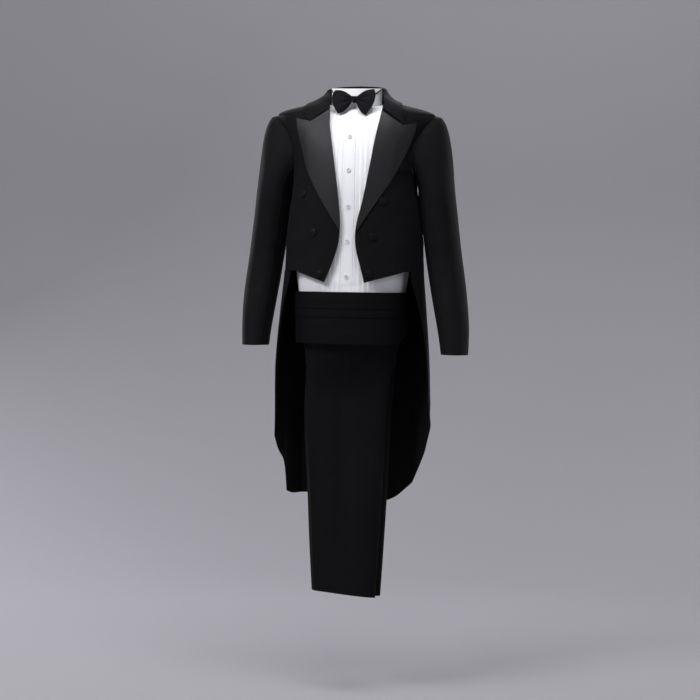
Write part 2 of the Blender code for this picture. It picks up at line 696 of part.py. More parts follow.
def coat_skirt(side, sign, column):
    """The outer part of a tail: from the waist seam, swept back to a rounded hem."""
    hem = Curve(TAIL_HEM, column, "angle")
    gap = coat.seam_turn(WAIST_Z) * SEAM_SHARE
    columns = [TAIL_FRONT, blend(TAIL_FRONT, FRONT_SEAM, 0.5), FRONT_SEAM + gap]
    columns += [*SKIRT_TURNS, BACK_SEAM_WAIST - gap]
    grid = []
    for share_down in reversed(steps(TAIL_ROWS)):
        row = []
        for at_waist in columns:
            reach = (at_waist - TAIL_FRONT) / (BACK_SEAM_WAIST - TAIL_FRONT)
            z = blend(WAIST_Z, hem(at_waist), share_down)
            turn = at_waist
            for _ in range(SETTLING):
                seam_now = back_seam_turn(z) - coat.seam_turn(z) * TAIL_SEAM_TURN
                turn = at_waist - (BACK_SEAM_WAIST - gap - seam_now) * reach**2
                z = blend(WAIST_Z - SEAM_HALF, hem(turn), share_down)
            row.append(coat.spot(sign * turn, z))
        grid.append(row)
    cloth(f"coat_skirt_{side}", grid, BLACK_CLOTH, 0.0, -COAT_WALL)


# ------------------------------------------------------------------ sleeves
def armhole_stops():
    """Turns round the sleeve, in degrees from its top line, at the panels' own points."""
    front = []
    for z in COAT_LEVELS:
        if SEAM_TOP_Z <= z <= SHOULDER_TIP_Z:
            share = min((z - ARMHOLE_Z) / ARMHOLE_HALF_HEIGHT, 1.0)
            front.append(math.degrees(math.acos(share)))
    for share in steps(SIDE_COLUMNS)[1:-1]:
        turn = blend(FRONT_SEAM, BACK_SEAM, share)
        along = (90.0 - turn) / ARMHOLE_HALF_TURN
        front.append(180.0 - math.degrees(math.asin(along)))
    stops = set(round(stop, 4) for stop in front)
    stops |= set(round(360.0 - stop, 4) for stop in front)
    return sorted(stop % 360.0 for stop in stops if stop < 359.99)


def armhole_point(sign, stop, share):
    """A point on the armhole's edge, drawn into the hole by a share of its size."""
    along = math.radians(stop)
    turn = 90.0 - ARMHOLE_HALF_TURN * share * math.sin(along)
    z = ARMHOLE_Z + ARMHOLE_HALF_HEIGHT * share * math.cos(along)
    return coat(sign * turn, z)


class Sleeve:
    """A sleeve's skin, read by its stop round the arm and its level down the arm.

    Levels 0 to 1 are the cap, from the armhole to the first level ring, and further
    levels are the rings below it, read by height.
    """

    def __init__(self, sign, column):
        self.sign = sign
        self.inner = Curve(ARMS, f"{column}_in")
        self.outer = Curve(ARMS, f"{column}_out")
        self.half_depth = Curve(ARMS, "half_depth")
        self.shift_y = Curve(ARMS, "shift_y")

    def ring(self, stop, z):
        along = math.radians(stop)
        centre = (self.inner(z) + self.outer(z)) / 2
        half = abs(self.outer(z) - self.inner(z)) / 2
        across = half * signed_power(math.cos(along), SLEEVE_BEND)
        forward = self.half_depth(z) * signed_power(math.sin(along), SLEEVE_BEND)
        return Vector((centre + self.sign * across, self.shift_y(z) - forward, z))

    def cap(self, stop, share):
        along = math.radians(stop)
        high, forward = math.cos(along), math.sin(along)
        start = armhole_point(self.sign, stop, 1 - SLEEVE_GAP)
        end = self.ring(stop, SLEEVE_TOP_Z)
        leave = Vector((
            self.sign * (CAP_LEAVES.x + CAP_LEAVES_TOP.x * high),
            CAP_LEAVES.y * forward,
            CAP_LEAVES.z * forward**2 + CAP_LEAVES_TOP.z * max(high, 0.0) ** 2,
        ))
        arrive = CAP_ARRIVES + CAP_ARRIVES_TOP * high
        arrive.x *= self.sign
        t = share
        return (
            start * (2 * t**3 - 3 * t**2 + 1)
            + leave * (t**3 - 2 * t**2 + t)
            + end * (3 * t**2 - 2 * t**3)
            + arrive * (t**3 - t**2)
        )

    def __call__(self, stop, level):
        """Level is 0 to 1 on the cap and a height in m below it."""
        if level >= 0:
            return self.cap(stop, level)
        return self.ring(stop, level)

    def spot(self, stop, level):
        if level >= 0:
            low, high = max(level - CAP_PROBE, 0.0), min(level + CAP_PROBE, 1.0)
        else:
            low, high = level + PROBE, level - PROBE
        along = self(stop, high) - self(stop, low)
        around = self(stop + STOP_PROBE, level) - self(stop - STOP_PROBE, level)
        return self(stop, level), around.cross(along).normalized() * self.sign


def sleeve_pieces(side, sign, column):
    """The top sleeve and the under sleeve, joined at the fore and hind arm seams."""
    skin = Sleeve(sign, column)
    cuff = CUFF_LEFT_Z if side == "L" else CUFF_RIGHT_Z
    stops = armhole_stops()
    fore = min(stops, key=lambda stop: abs(stop - FORE_SEAM_STOP))
    hind = min(stops, key=lambda stop: abs(stop - (360 - HIND_SEAM_STOP)))
    under = [stop for stop in stops if fore <= stop <= hind]
    top = [stop for stop in stops if stop >= hind] + [
        stop + 360.0 for stop in stops if stop <= fore
    ]
    levels = [*CAP_SHARES, *SLEEVE_LEVELS, cuff]
    for name, run in (("top", top), ("under", under)):
        grid = []
        for level in levels:
            row = []
            for stop in run:
                gap = STOP_GAP * ((stop == run[0]) - (stop == run[-1]))
                row.append(skin.spot(stop + gap, level))
            grid.append(row)
        cloth(f"coat_sleeve_{name}_{side}", grid, BLACK_CLOTH, 0.0, -COAT_WALL)


# ------------------------------------------------------------------ lapels and collar
def lapel_top(top, share):
    """The lapel's top: down the collar seam to the notch, then up to the peak."""
    if share <= top.notch_share:
        return blend(top.gorge_z, top.notch_z, share / top.notch_share)
    beyond = (share - top.notch_share) / (1 - top.notch_share)
    return blend(top.notch_z, top.peak_z, beyond)


def lapel(side, sign, column):
    """A peaked lapel, laid on the front from the roll line out."""
    roll = Curve(FRONT_EDGE, column)
    outer = Curve(LAPEL_OUTER, column)
    top = LAPEL_TOPS[column]
    notch = top.notch_share
    shares = (0.0, notch / 3, notch * 2 / 3, notch, (1 + notch) / 2, 1.0)
    grid = []
    for up in steps(LAPEL_ROWS):
        row = []
        for share in shares:
            z = blend(LAPEL_BOTTOM_Z, lapel_top(top, share), up)
            across = blend(roll(z), outer(z), share)
            row.append(coat.spot(coat.turn_at(across, z), z))
        grid.append(row)
    cloth(f"coat_lapel_{side}", grid, BLACK_SATIN, LAID_ON + SATIN_WALL, LAID_ON)


class Collar:
    """The turned-down collar, on the coat's skin at its edge and standing at its roll.

    along runs from 0 at the gorge to 8 at the middle of the back, and share from the
    roll line at 0 to the leaf's edge at 1.
    """

    def __init__(self, sign, column):
        self.sign = sign
        self.edge = Curve(FRONT_EDGE, column)
        self.outer = Curve(LAPEL_OUTER, column)
        self.top = LAPEL_TOPS[column]
        for name in ("turn", "z", "roll_in", "roll_up", "leaf_turn", "leaf_z"):
            setattr(self, name, Curve(COLLAR, name, "along"))

    def seam(self, along):
        """Turn and height of the neck seam, which follows the roll line in front."""
        turn, z = self.turn(along), self.z(along)
        on_edge = abs(coat.turn_at(self.edge(z), z))
        return blend(on_edge, turn, ease(along - NECK_STATION + 0.5)), z

    def leaf(self, along):
        """Turn and height of the leaf's edge, which starts at the lapel's notch."""
        turn, z = self.leaf_turn(along), self.leaf_z(along)
        notch_z = self.top.notch_z + 2 * SEAM_HALF
        across = blend(self.edge(notch_z), self.outer(notch_z), self.top.notch_share)
        notch = abs(coat.turn_at(across, notch_z))
        near = 1 - ease(along / LEAF_NOTCH_REACH)
        return blend(turn, notch, near), blend(z, notch_z, near)

    def __call__(self, along, share):
        seam_turn, seam_z = self.seam(along)
        leaf_turn, leaf_z = self.leaf(along)
        turn = self.sign * blend(seam_turn, leaf_turn, share)
        point, normal = coat.spot(turn, blend(seam_z, leaf_z, share))
        angle = math.radians(self.sign * seam_turn)
        inward = Vector((-math.sin(angle), math.cos(angle), 0.0))
        stand = inward * self.roll_in(along) + Vector((0, 0, self.roll_up(along)))
        return point + normal * COLLAR_LIFT + stand * (1 - share) ** COLLAR_BEND

    def spot(self, along, share):
        low, high = max(share - COLLAR_PROBE, 0.0), min(share + COLLAR_PROBE, 1.0)
        before = max(along - COLLAR_PROBE_ALONG, 0.0)
        after = min(along + COLLAR_PROBE_ALONG, COLLAR[-1].along)
        across = self(along, high) - self(along, low)
        round_neck = self(after, share) - self(before, share)
        normal = round_neck.cross(across).normalized() * -self.sign
        return self(along, share), normal


def collar_pieces():
    """The top collar in one length, and the stand that carries it inside."""
    right, left = (Collar(sign, column) for _, sign, column in SIDES)
    stations = [(right, along) for along in (*COLLAR_STATIONS, COLLAR[-1].along)]
    stations += [(left, along) for along in reversed(COLLAR_STATIONS)]
    grid = [[half.spot(along, share) for half, along in stations] for share in COLLAR_SHARES]
    cloth("coat_collar", grid, BLACK_CLOTH, SATIN_WALL, 0.0)

    grid = []
    behind = [(half, along) for half, along in stations if along > NECK_STATION + 0.5]
    for share in (0.0, 0.5, 1.0):
        row = []
        for half, along in behind:
            turn, z = half.seam(along)
            angle = math.radians(half.sign * turn)
            outward = Vector((math.sin(angle), -math.cos(angle), 0.0))
            foot = coat(half.sign * turn, COAT_NECK_Z + STAND_FOOT_GAP)
            top = half(along, 0.0) - outward * STAND_TOP_GAP.x
            top.z -= STAND_TOP_GAP.z
            row.append((foot.lerp(top, share), outward))
        grid.append(row)
    cloth("coat_collar_stand", grid, BLACK_CLOTH, 0.0, -SATIN_WALL)


def breast_welt():
    """The breast pocket's welt on the left front, as far as the lapel leaves it bare."""
    lapel_edge = Curve(LAPEL_OUTER, "left")
    grid = []
    for up in (-0.5, 0.0, 0.5):
        row = []
        for along in steps(4):
            z = WELT_Z + up * WELT_HEIGHT + along * WELT_RISE
            across = blend(lapel_edge(z) + 0.0012, WELT_OUTER_X, along)
            row.append(coat.spot(coat.turn_at(across, z), z))
        grid.append(row)
    cloth("coat_breast_welt", grid, BLACK_CLOTH, LAID_ON + SATIN_WALL, LAID_ON / 2)


def round_button(name, point, normal, width, thick, finish):
    """A covered button: a bevelled disc whose back lies on the cloth."""
    maker = bmesh.new()
    bmesh.ops.create_cone(
        maker, cap_ends=True, segments=14, radius1=width / 2, radius2=width / 2, depth=thick
    )
    top = [edge for edge in maker.edges if all(v.co.z > 0 for v in edge.verts)]
    bmesh.ops.bevel(
        maker, geom=top, offset=thick * 0.45, segments=2, affect="EDGES", profile=0.6
    )
    turned = normal.to_track_quat("Z", "Y").to_matrix().to_4x4()
    centre = point + normal * (thick / 2)
    bmesh.ops.transform(maker, matrix=Matrix.Translation(centre) @ turned, verts=maker.verts)
    keep(name, maker, finish)


def coat_buttons():
    for side, buttons in (("R", RIGHT_BUTTONS), ("L", LEFT_BUTTONS)):
        for number, button in enumerate(buttons, 1):
            point, normal = coat.spot(coat.turn_at(button.across, button.z), button.z)
            round_button(
                f"coat_button_{side}{number}", point + normal * 0.0006, normal,
                BUTTON_WIDTH, BUTTON_THICK, BUTTON_SATIN,
            )
    for side, sign, _ in SIDES:
        point, normal = coat.spot(sign * BACK_BUTTON_TURN, BACK_BUTTON_Z)
        round_button(
            f"coat_button_back_{side}", point + normal * 0.0007, normal,
            BUTTON_WIDTH, BUTTON_THICK, BUTTON_SATIN,
        )


# ------------------------------------------------------------------ the shirt
def shirt_outer_turn(level, toward_back):
    """The shirt's side seam, then the armhole's edge, then the shoulder seam."""
    half = armhole_turn(min(level, SHIRT_SHOULDER_Z), SHIRT_ARMHOLE_Z)
    return SHIRT_SEAM + half if toward_back else SHIRT_SEAM - half


def shirt_front(side, sign):
    """A shirt front, its pleats raised in steps beside the placket."""
    grid, raises = [], []
    for level in SHIRT_LEVELS:
        row, lift = [], []
        outer = shirt_outer_turn(level, False) - shirt.seam_turn(level) * 1.5
        narrowed = min(1.0, shirt.half_width(level) / PLEATS_FULL_HALF_WIDTH)
        places = [0.0003]
        for pleat in range(PLEATS):
            start = PLACKET_HALF + pleat * PLEAT_PITCH
            places += [start, start + PLEAT_EDGE]
        for index, place in enumerate(places):
            middle = shirt.shift(level)
            turn = abs(shirt.turn_at(middle + place * narrowed, level))
            row.append(shirt.spot(sign * turn, level))
            pleated = TUCKED_Z < level < PLEATS_TOP_Z
            raised = index >= 2 and index % 2 == 0 and pleated
            lift.append(PLEAT_DEPTH if raised else 0.0)
        last = turn
        for share in (0.33, 0.67, 1.0):
            row.append(shirt.spot(sign * blend(last, outer, share), level))
            lift.append(0.0)
        grid.append(row)
        raises.append(lift)
    cloth(
        f"shirt_front_{side}", grid, WHITE_CLOTH, lambda i, j: raises[i][j], -SHIRT_WALL
    )


def shirt_back():
    """The shirt's back, in one piece from side seam to side seam."""
    grid = []
    for level in SHIRT_LEVELS:
        outer = shirt_outer_turn(level, True) + shirt.seam_turn(level) * 1.5
        row = []
        for share in steps(SHIRT_BACK_COLUMNS):
            row.append(shirt.spot(blend(outer, 360.0 - outer, share), level))
        grid.append(row)
    cloth("shirt_back", grid, WHITE_CLOTH, 0.0, -SHIRT_WALL)


def placket_levels():
    return [z for z in SHIRT_LEVELS if TUCKED_Z < z <= -0.021]


def shirt_placket():
    """The button strip down the middle of the shirt, and its buttons."""
    grid = []
    for level in placket_levels():
        row = []
        for share in steps(2):
            across = blend(-PLACKET_HALF, PLACKET_HALF, share) * PLACKET_FIT
            narrowed = min(1.0, shirt.half_width(level) / PLEATS_FULL_HALF_WIDTH)
            middle = shirt.shift(level)
            row.append(shirt.spot(shirt.turn_at(middle + across * narrowed, level), level))
        grid.append(row)
    cloth(
        "shirt_placket", grid, WHITE_CLOTH,
        PLACKET_CLEAR + PLACKET_RAISE, PLACKET_CLEAR,
    )
    for number, z in enumerate(STUDS_Z, 1):
        point, normal = shirt.spot(0.0, z)
        round_button(
            f"shirt_stud_{number}", point + normal * (PLACKET_CLEAR + PLACKET_RAISE + STUD_CLEAR), normal,
            STUD_WIDTH, STUD_THICK, STUD_WHITE,
        )


def stand_point(turn, share):
    """The shirt's standing collar, from its foot to its top edge."""
    back = (1 - math.cos(math.radians(turn))) / 2
    foot = STAND_BOTTOM_Z - SHIRT_NECK_TILT * (1 - back)
    top = blend(STAND_TOP_FRONT_Z, STAND_TOP_BACK_Z, back)
    angle = math.radians(turn)
    depth = COLLAR_HEIGHT.front if math.cos(angle) > 0 else COLLAR_HEIGHT.back
    return Vector((
        COLLAR_HEIGHT.half_width * math.sin(angle), -depth * math.cos(angle),
        blend(foot, top, share),
    ))


def shirt_collar():
    """The standing collar, a band round the neck that is fastened at the front."""
    grid = []
    for share in (0.0, 1.0):
        row = []
        for turn in range(0, 360, 10):
            angle = math.radians(turn)
            row.append((
                stand_point(turn, share), Vector((math.sin(angle), -math.cos(angle), 0))
            ))
        grid.append(row)
    cloth("shirt_collar", grid, WHITE_CLOTH, 0.0, -STAND_WALL, closed=True)


# ------------------------------------------------------------------ the bow tie
def bow_wing(side, sign, column):
    """A wing of the bow: a puff of satin that flares from the knot to two corners."""
    out = Curve(WING_EDGE, f"{column}_out", "share")
    up = Curve(WING_EDGE, f"{column}_up", "share")
    across_steps, up_steps = steps(7), steps(8)
    maker = bmesh.new()
    skins = []
    for face in (-1, 1):
        skin = []
        for r in across_steps:
            row = []
            for s in up_steps:
                root = Vector((WING_START, (2 * s - 1) * WING_ROOT_HALF))
                tip = Vector((out(s), up(s)))
                place = root.lerp(tip, r)
                between = math.sin(math.pi * r)
                edge = (2 * s - 1) ** 2
                swell = WING_SWELL_TOP if s > 0.5 else -WING_SWELL_LOW
                place.y += swell * between * edge
                puff = WING_PUFF * math.sqrt(max(0.0, 1 - edge))
                puff *= blend(WING_PUFF_EDGE, 1.0, between)
                depth = KNOT.y - WING_FORWARD + WING_LEAN * place.y
                depth += face * (WING_WALL + puff) / 2
                point = Vector((KNOT.x + sign * place.x, depth, KNOT.z + place.y))
                row.append(maker.verts.new(point))
            skin.append(row)
        skins.append(skin)
    front, back = skins
    for i in range(len(across_steps) - 1):
        for j in range(len(up_steps) - 1):
            for skin in (front, back):
                maker.faces.new(
                    (skin[i][j], skin[i + 1][j], skin[i + 1][j + 1], skin[i][j + 1])
                )
    for i in range(len(across_steps) - 1):
        for j in (0, len(up_steps) - 1):
            maker.faces.new((front[i][j], front[i + 1][j], back[i + 1][j], back[i][j]))
    for j in range(len(up_steps) - 1):
        for i in (0, len(across_steps) - 1):
            maker.faces.new((front[i][j], front[i][j + 1], back[i][j + 1], back[i][j]))
    keep(f"bow_wing_{side}", faced_out(maker), BLACK_SATIN)


def bow_knot():
    """The knot: a soft block round the middle of the bow."""
    maker = bmesh.new()
    bmesh.ops.create_cube(maker, size=1.0)
    bmesh.ops.scale(maker, vec=KNOT_SIZE, verts=maker.verts)
    bmesh.ops.bevel(
        maker, geom=maker.edges[:], offset=KNOT_BEVEL, segments=2, affect="EDGES", profile=0.5
    )
    bmesh.ops.translate(maker, vec=KNOT, verts=maker.verts)
    keep("bow_knot", maker, BLACK_SATIN)


def bow_band():
    """The band that carries the bow round the shirt's collar."""
    grid = []
    for share in (0.0, 1.0):
        row = []
        for turn in range(0, 360, 10):
            angle = math.radians(turn)
            outward = Vector((math.sin(angle), -math.cos(angle), 0))
            back = (1 - math.cos(angle)) / 2
            point = stand_point(turn, 0.5) + outward * BAND_CLEAR
            point.z = BAND_Z + BAND_RISE * ease(back / BAND_RISE_END)
            point.z += (share - 0.5) * BAND_HEIGHT
            row.append((point, outward))
        grid.append(row)
    cloth("bow_band", grid, BLACK_SATIN, BAND_WALL, 0.0, closed=True)


# ------------------------------------------------------------------ the waist sash
def sash_front():
    """The pleated part of the sash: its folds step out one over the other."""
    lower = Curve(SASH_LOWER_EDGE, "z", "turn")
    deepest = min(row.z for row in SASH_LOWER_EDGE)
    tops = (SASH_TOP_Z, *SASH_PLEATS)
    bottoms = (*SASH_PLEATS, deepest)
    levels = []
    for number, (top, bottom) in enumerate(zip(tops, bottoms)):
        rise = SASH_STEP * (len(tops) - 1 - number)
        levels += [(top, rise), (blend(top, bottom, 0.5), rise + 0.0004)]
        if number < len(tops) - 1:
            levels.append((bottom + 0.0012, rise))
    levels.append((deepest, 0.0))
    grid, lifts = [], []
    for z, rise in levels:
        row = []
        share_down = (SASH_TOP_Z - z) / (SASH_TOP_Z - deepest)
        for share in steps(SASH_COLUMNS):
            turn = blend(-SASH_FRONT_TURN, SASH_FRONT_TURN, share)
            row.append(sash.spot(turn, blend(SASH_TOP_Z, lower(turn), share_down)))
        grid.append(row)
        lifts.append(rise)
    cloth(
        "sash_front", grid, BLACK_SATIN, lambda i, j: SASH_WALL + lifts[i], 0.0
    )


def sash_strap():
    """The plain strap that closes the sash behind."""
    grid = []
    for z in (STRAP_BOTTOM_Z, STRAP_TOP_Z):
        row = []
        for share in steps(14):
            gap = 0.15
            start, end = SASH_FRONT_TURN + gap, 360.0 - SASH_FRONT_TURN - gap
            row.append(sash.spot(blend(start, end, share), z))
        grid.append(row)
    cloth("sash_strap", grid, BLACK_SATIN, SASH_WALL, 0.0)


# ------------------------------------------------------------------ the trousers
def hem_z(x):
    """The trouser hem slants down towards the back crease, at +X."""
    share = min(max((x - HEM_FRONT_X) / HEM_ACROSS, 0.0), 1.0)
    return blend(HEM_FRONT_Z, HEM_BACK_Z, share)


class TrouserLeg:
    """One leg's skin: pressed flat, its creases at -X and +X, one leg behind the other.

    share runs round a front or back panel: 0 at the outer seam, 1 at the inner seam of
    the leg or, above the fork, at the middle seam of the seat.
    """

    def __init__(self, face, crease):
        self.face = face          # -1 is the leg nearer the front, 1 the one behind
        self.crease = crease      # -1 is the front panel's crease, 1 the back panel's
        self.centre = Curve(LEGS, "centre_x")
        self.half_width = Curve(LEGS, "half_width")
        self.half_depth = Curve(LEGS, "half_depth")

    def leg_edge(self, z):
        """Where the crease lies across."""
        shift = BACK_LEG_SHIFT_X if self.face > 0 else 0.0
        return self.centre(z) + shift + self.crease * self.half_width(z)

    def leg(self, share, z):
        angle = math.radians(180.0 * share)
        along = signed_power(math.sin(angle), 2 / CREASE)
        deep = signed_power(math.cos(angle), 2 / LEG_BOXINESS)
        x = self.leg_edge(z) - self.crease * self.half_width(z) * (1 - along)
        half = self.half_depth(z)
        y = self.face * (LEG_GAP / 2 + half + half * deep)
        ripple = sum(
            fold.depth * math.exp(-(((share - fold.angle) / fold.spread) ** 2))
            for fold in LEG_FOLDS
        )
        grown = ease((FORK_LOW_Z - z) / LEG_GAP_FADE)
        grown *= 1 - SHIN_FLATTER * ease((SHIN_Z - z) / SHIN_HEIGHT)
        if share < 0.5:
            y += self.face * ripple * grown * self.crease
        return Vector((x, y, z))

    def seat(self, share, z):
        middle = 180.0 * self.crease if self.face > 0 else 0.0
        turn = blend(middle, 90.0 * self.crease, share)
        point = seat(turn, z)
        point.y += self.face * LEG_GAP / 2 * ease((FORK_TOP_Z + LEG_GAP_FADE - z) / LEG_GAP_FADE)
        return point

    def forming(self, share, z, formed):
        return self.seat(share, z).lerp(self.leg(share, z), formed)

    def __call__(self, share, z):
        formed = ease((FORK_TOP_Z - z) / (FORK_TOP_Z - FORK_LOW_Z))
        if formed <= 0:
            return self.seat(share, z)
        if formed >= 1:
            return self.leg(share, z)
        point = self.forming(share, z, formed)
        pivot = self.centre(z)
        widest = max(
            self.crease * (self.forming(probe, z, formed).x - pivot)
            for probe in steps(FORK_PROBES)
        )
        wanted = self.crease * (blend(self.seat(1.0, z).x, self.leg_edge(z), formed) - pivot)
        point.x = pivot + (point.x - pivot) * wanted / widest
        return point

    def spot(self, share, z):
        low = min(max(share - PANEL_PROBE, 0.0), 1.0 - 2 * PANEL_PROBE)
        high = low + 2 * PANEL_PROBE
        along = self(high, z) - self(low, z)
        down = self(share, z - PROBE) - self(share, z + PROBE)
        normal = along.cross(down).normalized() * (self.face * self.crease)
        return self(share, z), normal


def trouser_panel(name, face, crease):
    """A front or back panel of one leg, from the waistband to the hem."""
    skin = TrouserLeg(face, crease)
    grid = []
    for level in TROUSER_LEVELS:
        row = []
        for share in steps(TROUSER_COLUMNS):
            held = PANEL_GAP + share * (1 - 2 * PANEL_GAP)
            point, normal = skin.spot(held, level)
            low = ease((HEM_SLANT_Z - level) / (HEM_SLANT_Z - TROUSER_LEVELS[-1]))
            drop = low * (hem_z(point.x) - TROUSER_LEVELS[-1])
            row.append((point + Vector((0, 0, drop)), normal))
        grid.append(row)
    cloth(name, grid, BLACK_CLOTH, 0.0, -TROUSER_WALL)


def trousers():
    for name, face, crease in (
        ("trouser_front_L", -1, -1), ("trouser_back_L", -1, 1),
        ("trouser_front_R", 1, -1), ("trouser_back_R", 1, 1),
    ):
        trouser_panel(name, face, crease)
    grid = []
    for z in (WAISTBAND_BOTTOM_Z, WAISTBAND_TOP_Z):
        grid.append([seat.spot(turn, z) for turn in range(0, 360, 9)])
    cloth("trouser_waistband", grid, BLACK_CLOTH, 0.0, -TROUSER_WALL, closed=True)


# ------------------------------------------------------------------ the whole suit
SUIT = "evening_suit"


def clear_scene():
    for old in list(bpy.data.objects):
        bpy.data.objects.remove(old)
    collection = bpy.data.collections.new(SUIT)
    bpy.context.scene.collection.children.link(collection)


def build():
    clear_scene()
    for side, sign, column in SIDES:
        coat_front(side, sign, column)
        coat_side(side, sign)
        coat_back(side, sign, column)
        coat_skirt(side, sign, column)
        sleeve_pieces(side, sign, column)
        lapel(side, sign, column)
        shirt_front(side, sign)
        bow_wing(side, sign, column)
    collar_pieces()
    breast_welt()
    coat_buttons()
    shirt_back()
    shirt_placket()
    shirt_collar()
    bow_knot()
    bow_band()
    sash_front()
    sash_strap()
    trousers()


build()
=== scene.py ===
"""Evening dress suit: creased cloth, buttons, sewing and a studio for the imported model."""

import functools
import json
import math
from typing import NamedTuple

import bpy
import numpy as np
from mathutils import Matrix, Vector
from mathutils.bvhtree import BVHTree
from mathutils.kdtree import KDTree

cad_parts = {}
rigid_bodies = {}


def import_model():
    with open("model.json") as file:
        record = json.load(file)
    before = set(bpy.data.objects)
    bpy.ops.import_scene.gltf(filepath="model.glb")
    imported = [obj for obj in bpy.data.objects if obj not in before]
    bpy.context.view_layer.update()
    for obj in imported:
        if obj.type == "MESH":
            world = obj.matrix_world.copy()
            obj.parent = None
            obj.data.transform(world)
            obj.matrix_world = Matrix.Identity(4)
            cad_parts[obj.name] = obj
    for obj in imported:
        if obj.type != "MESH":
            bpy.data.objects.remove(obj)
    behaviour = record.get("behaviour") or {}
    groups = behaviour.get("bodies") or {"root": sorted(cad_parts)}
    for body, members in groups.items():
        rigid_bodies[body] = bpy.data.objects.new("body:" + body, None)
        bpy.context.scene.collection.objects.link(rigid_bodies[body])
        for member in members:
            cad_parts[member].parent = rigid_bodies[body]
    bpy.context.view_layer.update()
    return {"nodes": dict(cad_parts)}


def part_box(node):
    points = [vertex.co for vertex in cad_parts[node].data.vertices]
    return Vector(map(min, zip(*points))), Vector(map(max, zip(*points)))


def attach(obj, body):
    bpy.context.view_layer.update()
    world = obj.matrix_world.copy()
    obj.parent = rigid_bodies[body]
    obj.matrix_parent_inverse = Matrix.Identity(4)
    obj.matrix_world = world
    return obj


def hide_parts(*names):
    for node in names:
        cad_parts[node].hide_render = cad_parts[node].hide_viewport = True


bl_info = {
    "name": "Evening dress suit",
    "version": (1, 0, 0),
    "blender": (4, 5, 0),
    "location": "View3D > Sidebar > Suit",
    "description": "Tailcoat, shirt, bow, sash and trousers in creased cloth, with their sewing",
    "category": "Object",
}

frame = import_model()

MM = 0.001
CENTIMETRE = 0.01

# ------------------------------------------------------------------ the suit's own lines
# The forms that the cloth hangs round, in metres: +Z up the wearer, the front towards -Y.
BODY_RADIUS = 0.160
WAIST_LEAN_X = -0.005           # shirt, sash and trousers lean a little to the right
LEAN_TOP_Z = -0.25              # from here down, over this height
LEAN_HEIGHT = 0.25
SHIRT_RADIUS = 0.132
ARM_RADIUS = 0.047
ARM_TOP_Z = -0.262
ARM_TOP_X = {"R": -0.2127, "L": 0.2139}
ARM_LEAN = {"R": -0.0964, "L": 0.1330}  # how far the arm goes out for each metre down
ARM_TOP_Y = 0.004
ARM_SWING = -0.093              # and how far it comes forward
SLEEVE_HEAD_Z = -0.150          # above this the sleeve's head rounds up to the shoulder
HEAD_TOP_Z = -0.085             # the folds begin here, and have their full height this far below
HEAD_FADE = 0.06
LEG_Y = {"L": -0.0210, "R": 0.0205}     # the middle of each pressed leg
LEG_HALF = 0.012
LEG_EDGE = 0.35 * LEG_HALF      # within this of its middle a leg's edge turns from front to back
HIDDEN_FOLD_SHARE = 0.45
FORK_Z = -0.675
FORK_BLEND = 0.110
KNOT = Vector((0.0030, -0.0680, -0.0180))
KNOT_FOLD_PACE = 0.0010
KNOT_FOLD_HEIGHT = 0.00030
BAND_RADIUS = 0.062
BOW_SHARP = 60                  # degrees: the bow's turned edges are softer than a panel's
BOW_ROUNDING = 2
RIM_ANGLE = 48                  # degrees: from here on an edge counts as the cloth's rim
RIM_REACH = 0.006
BUTTON_RIM_REACH = 0.001
FULL_FOLD = 0.004               # a fold of this height gets the full painted light on its ridge and painted shade in its trough
WELD = 0.00002
FITTING_ROUNDS = 3              # times that a rounded skin is drawn back to its own points
WALL_AT_MOST = 0.0034           # a narrower side of a face is the cloth's own thickness
SEAM_REACH = 0.00030            # how far a panel's cut edge goes out, to meet its neighbour


class Crease(NamedTuple):
    """A soft fold, from (turn, z) to (to_turn, to_z): its height, half width and bow in mm.

    A height below 0 is a trough. The turn is in degrees: round the body from the middle of the
    front towards the wearer's left, or round an arm from its outer line towards the front.
    """

    turn: float
    z: float
    to_turn: float
    to_z: float
    height: float
    width: float
    bow: float


def crease_table(*rows):
    """A table of creases from rows of their numbers."""
    return tuple(Crease(*row) for row in rows)


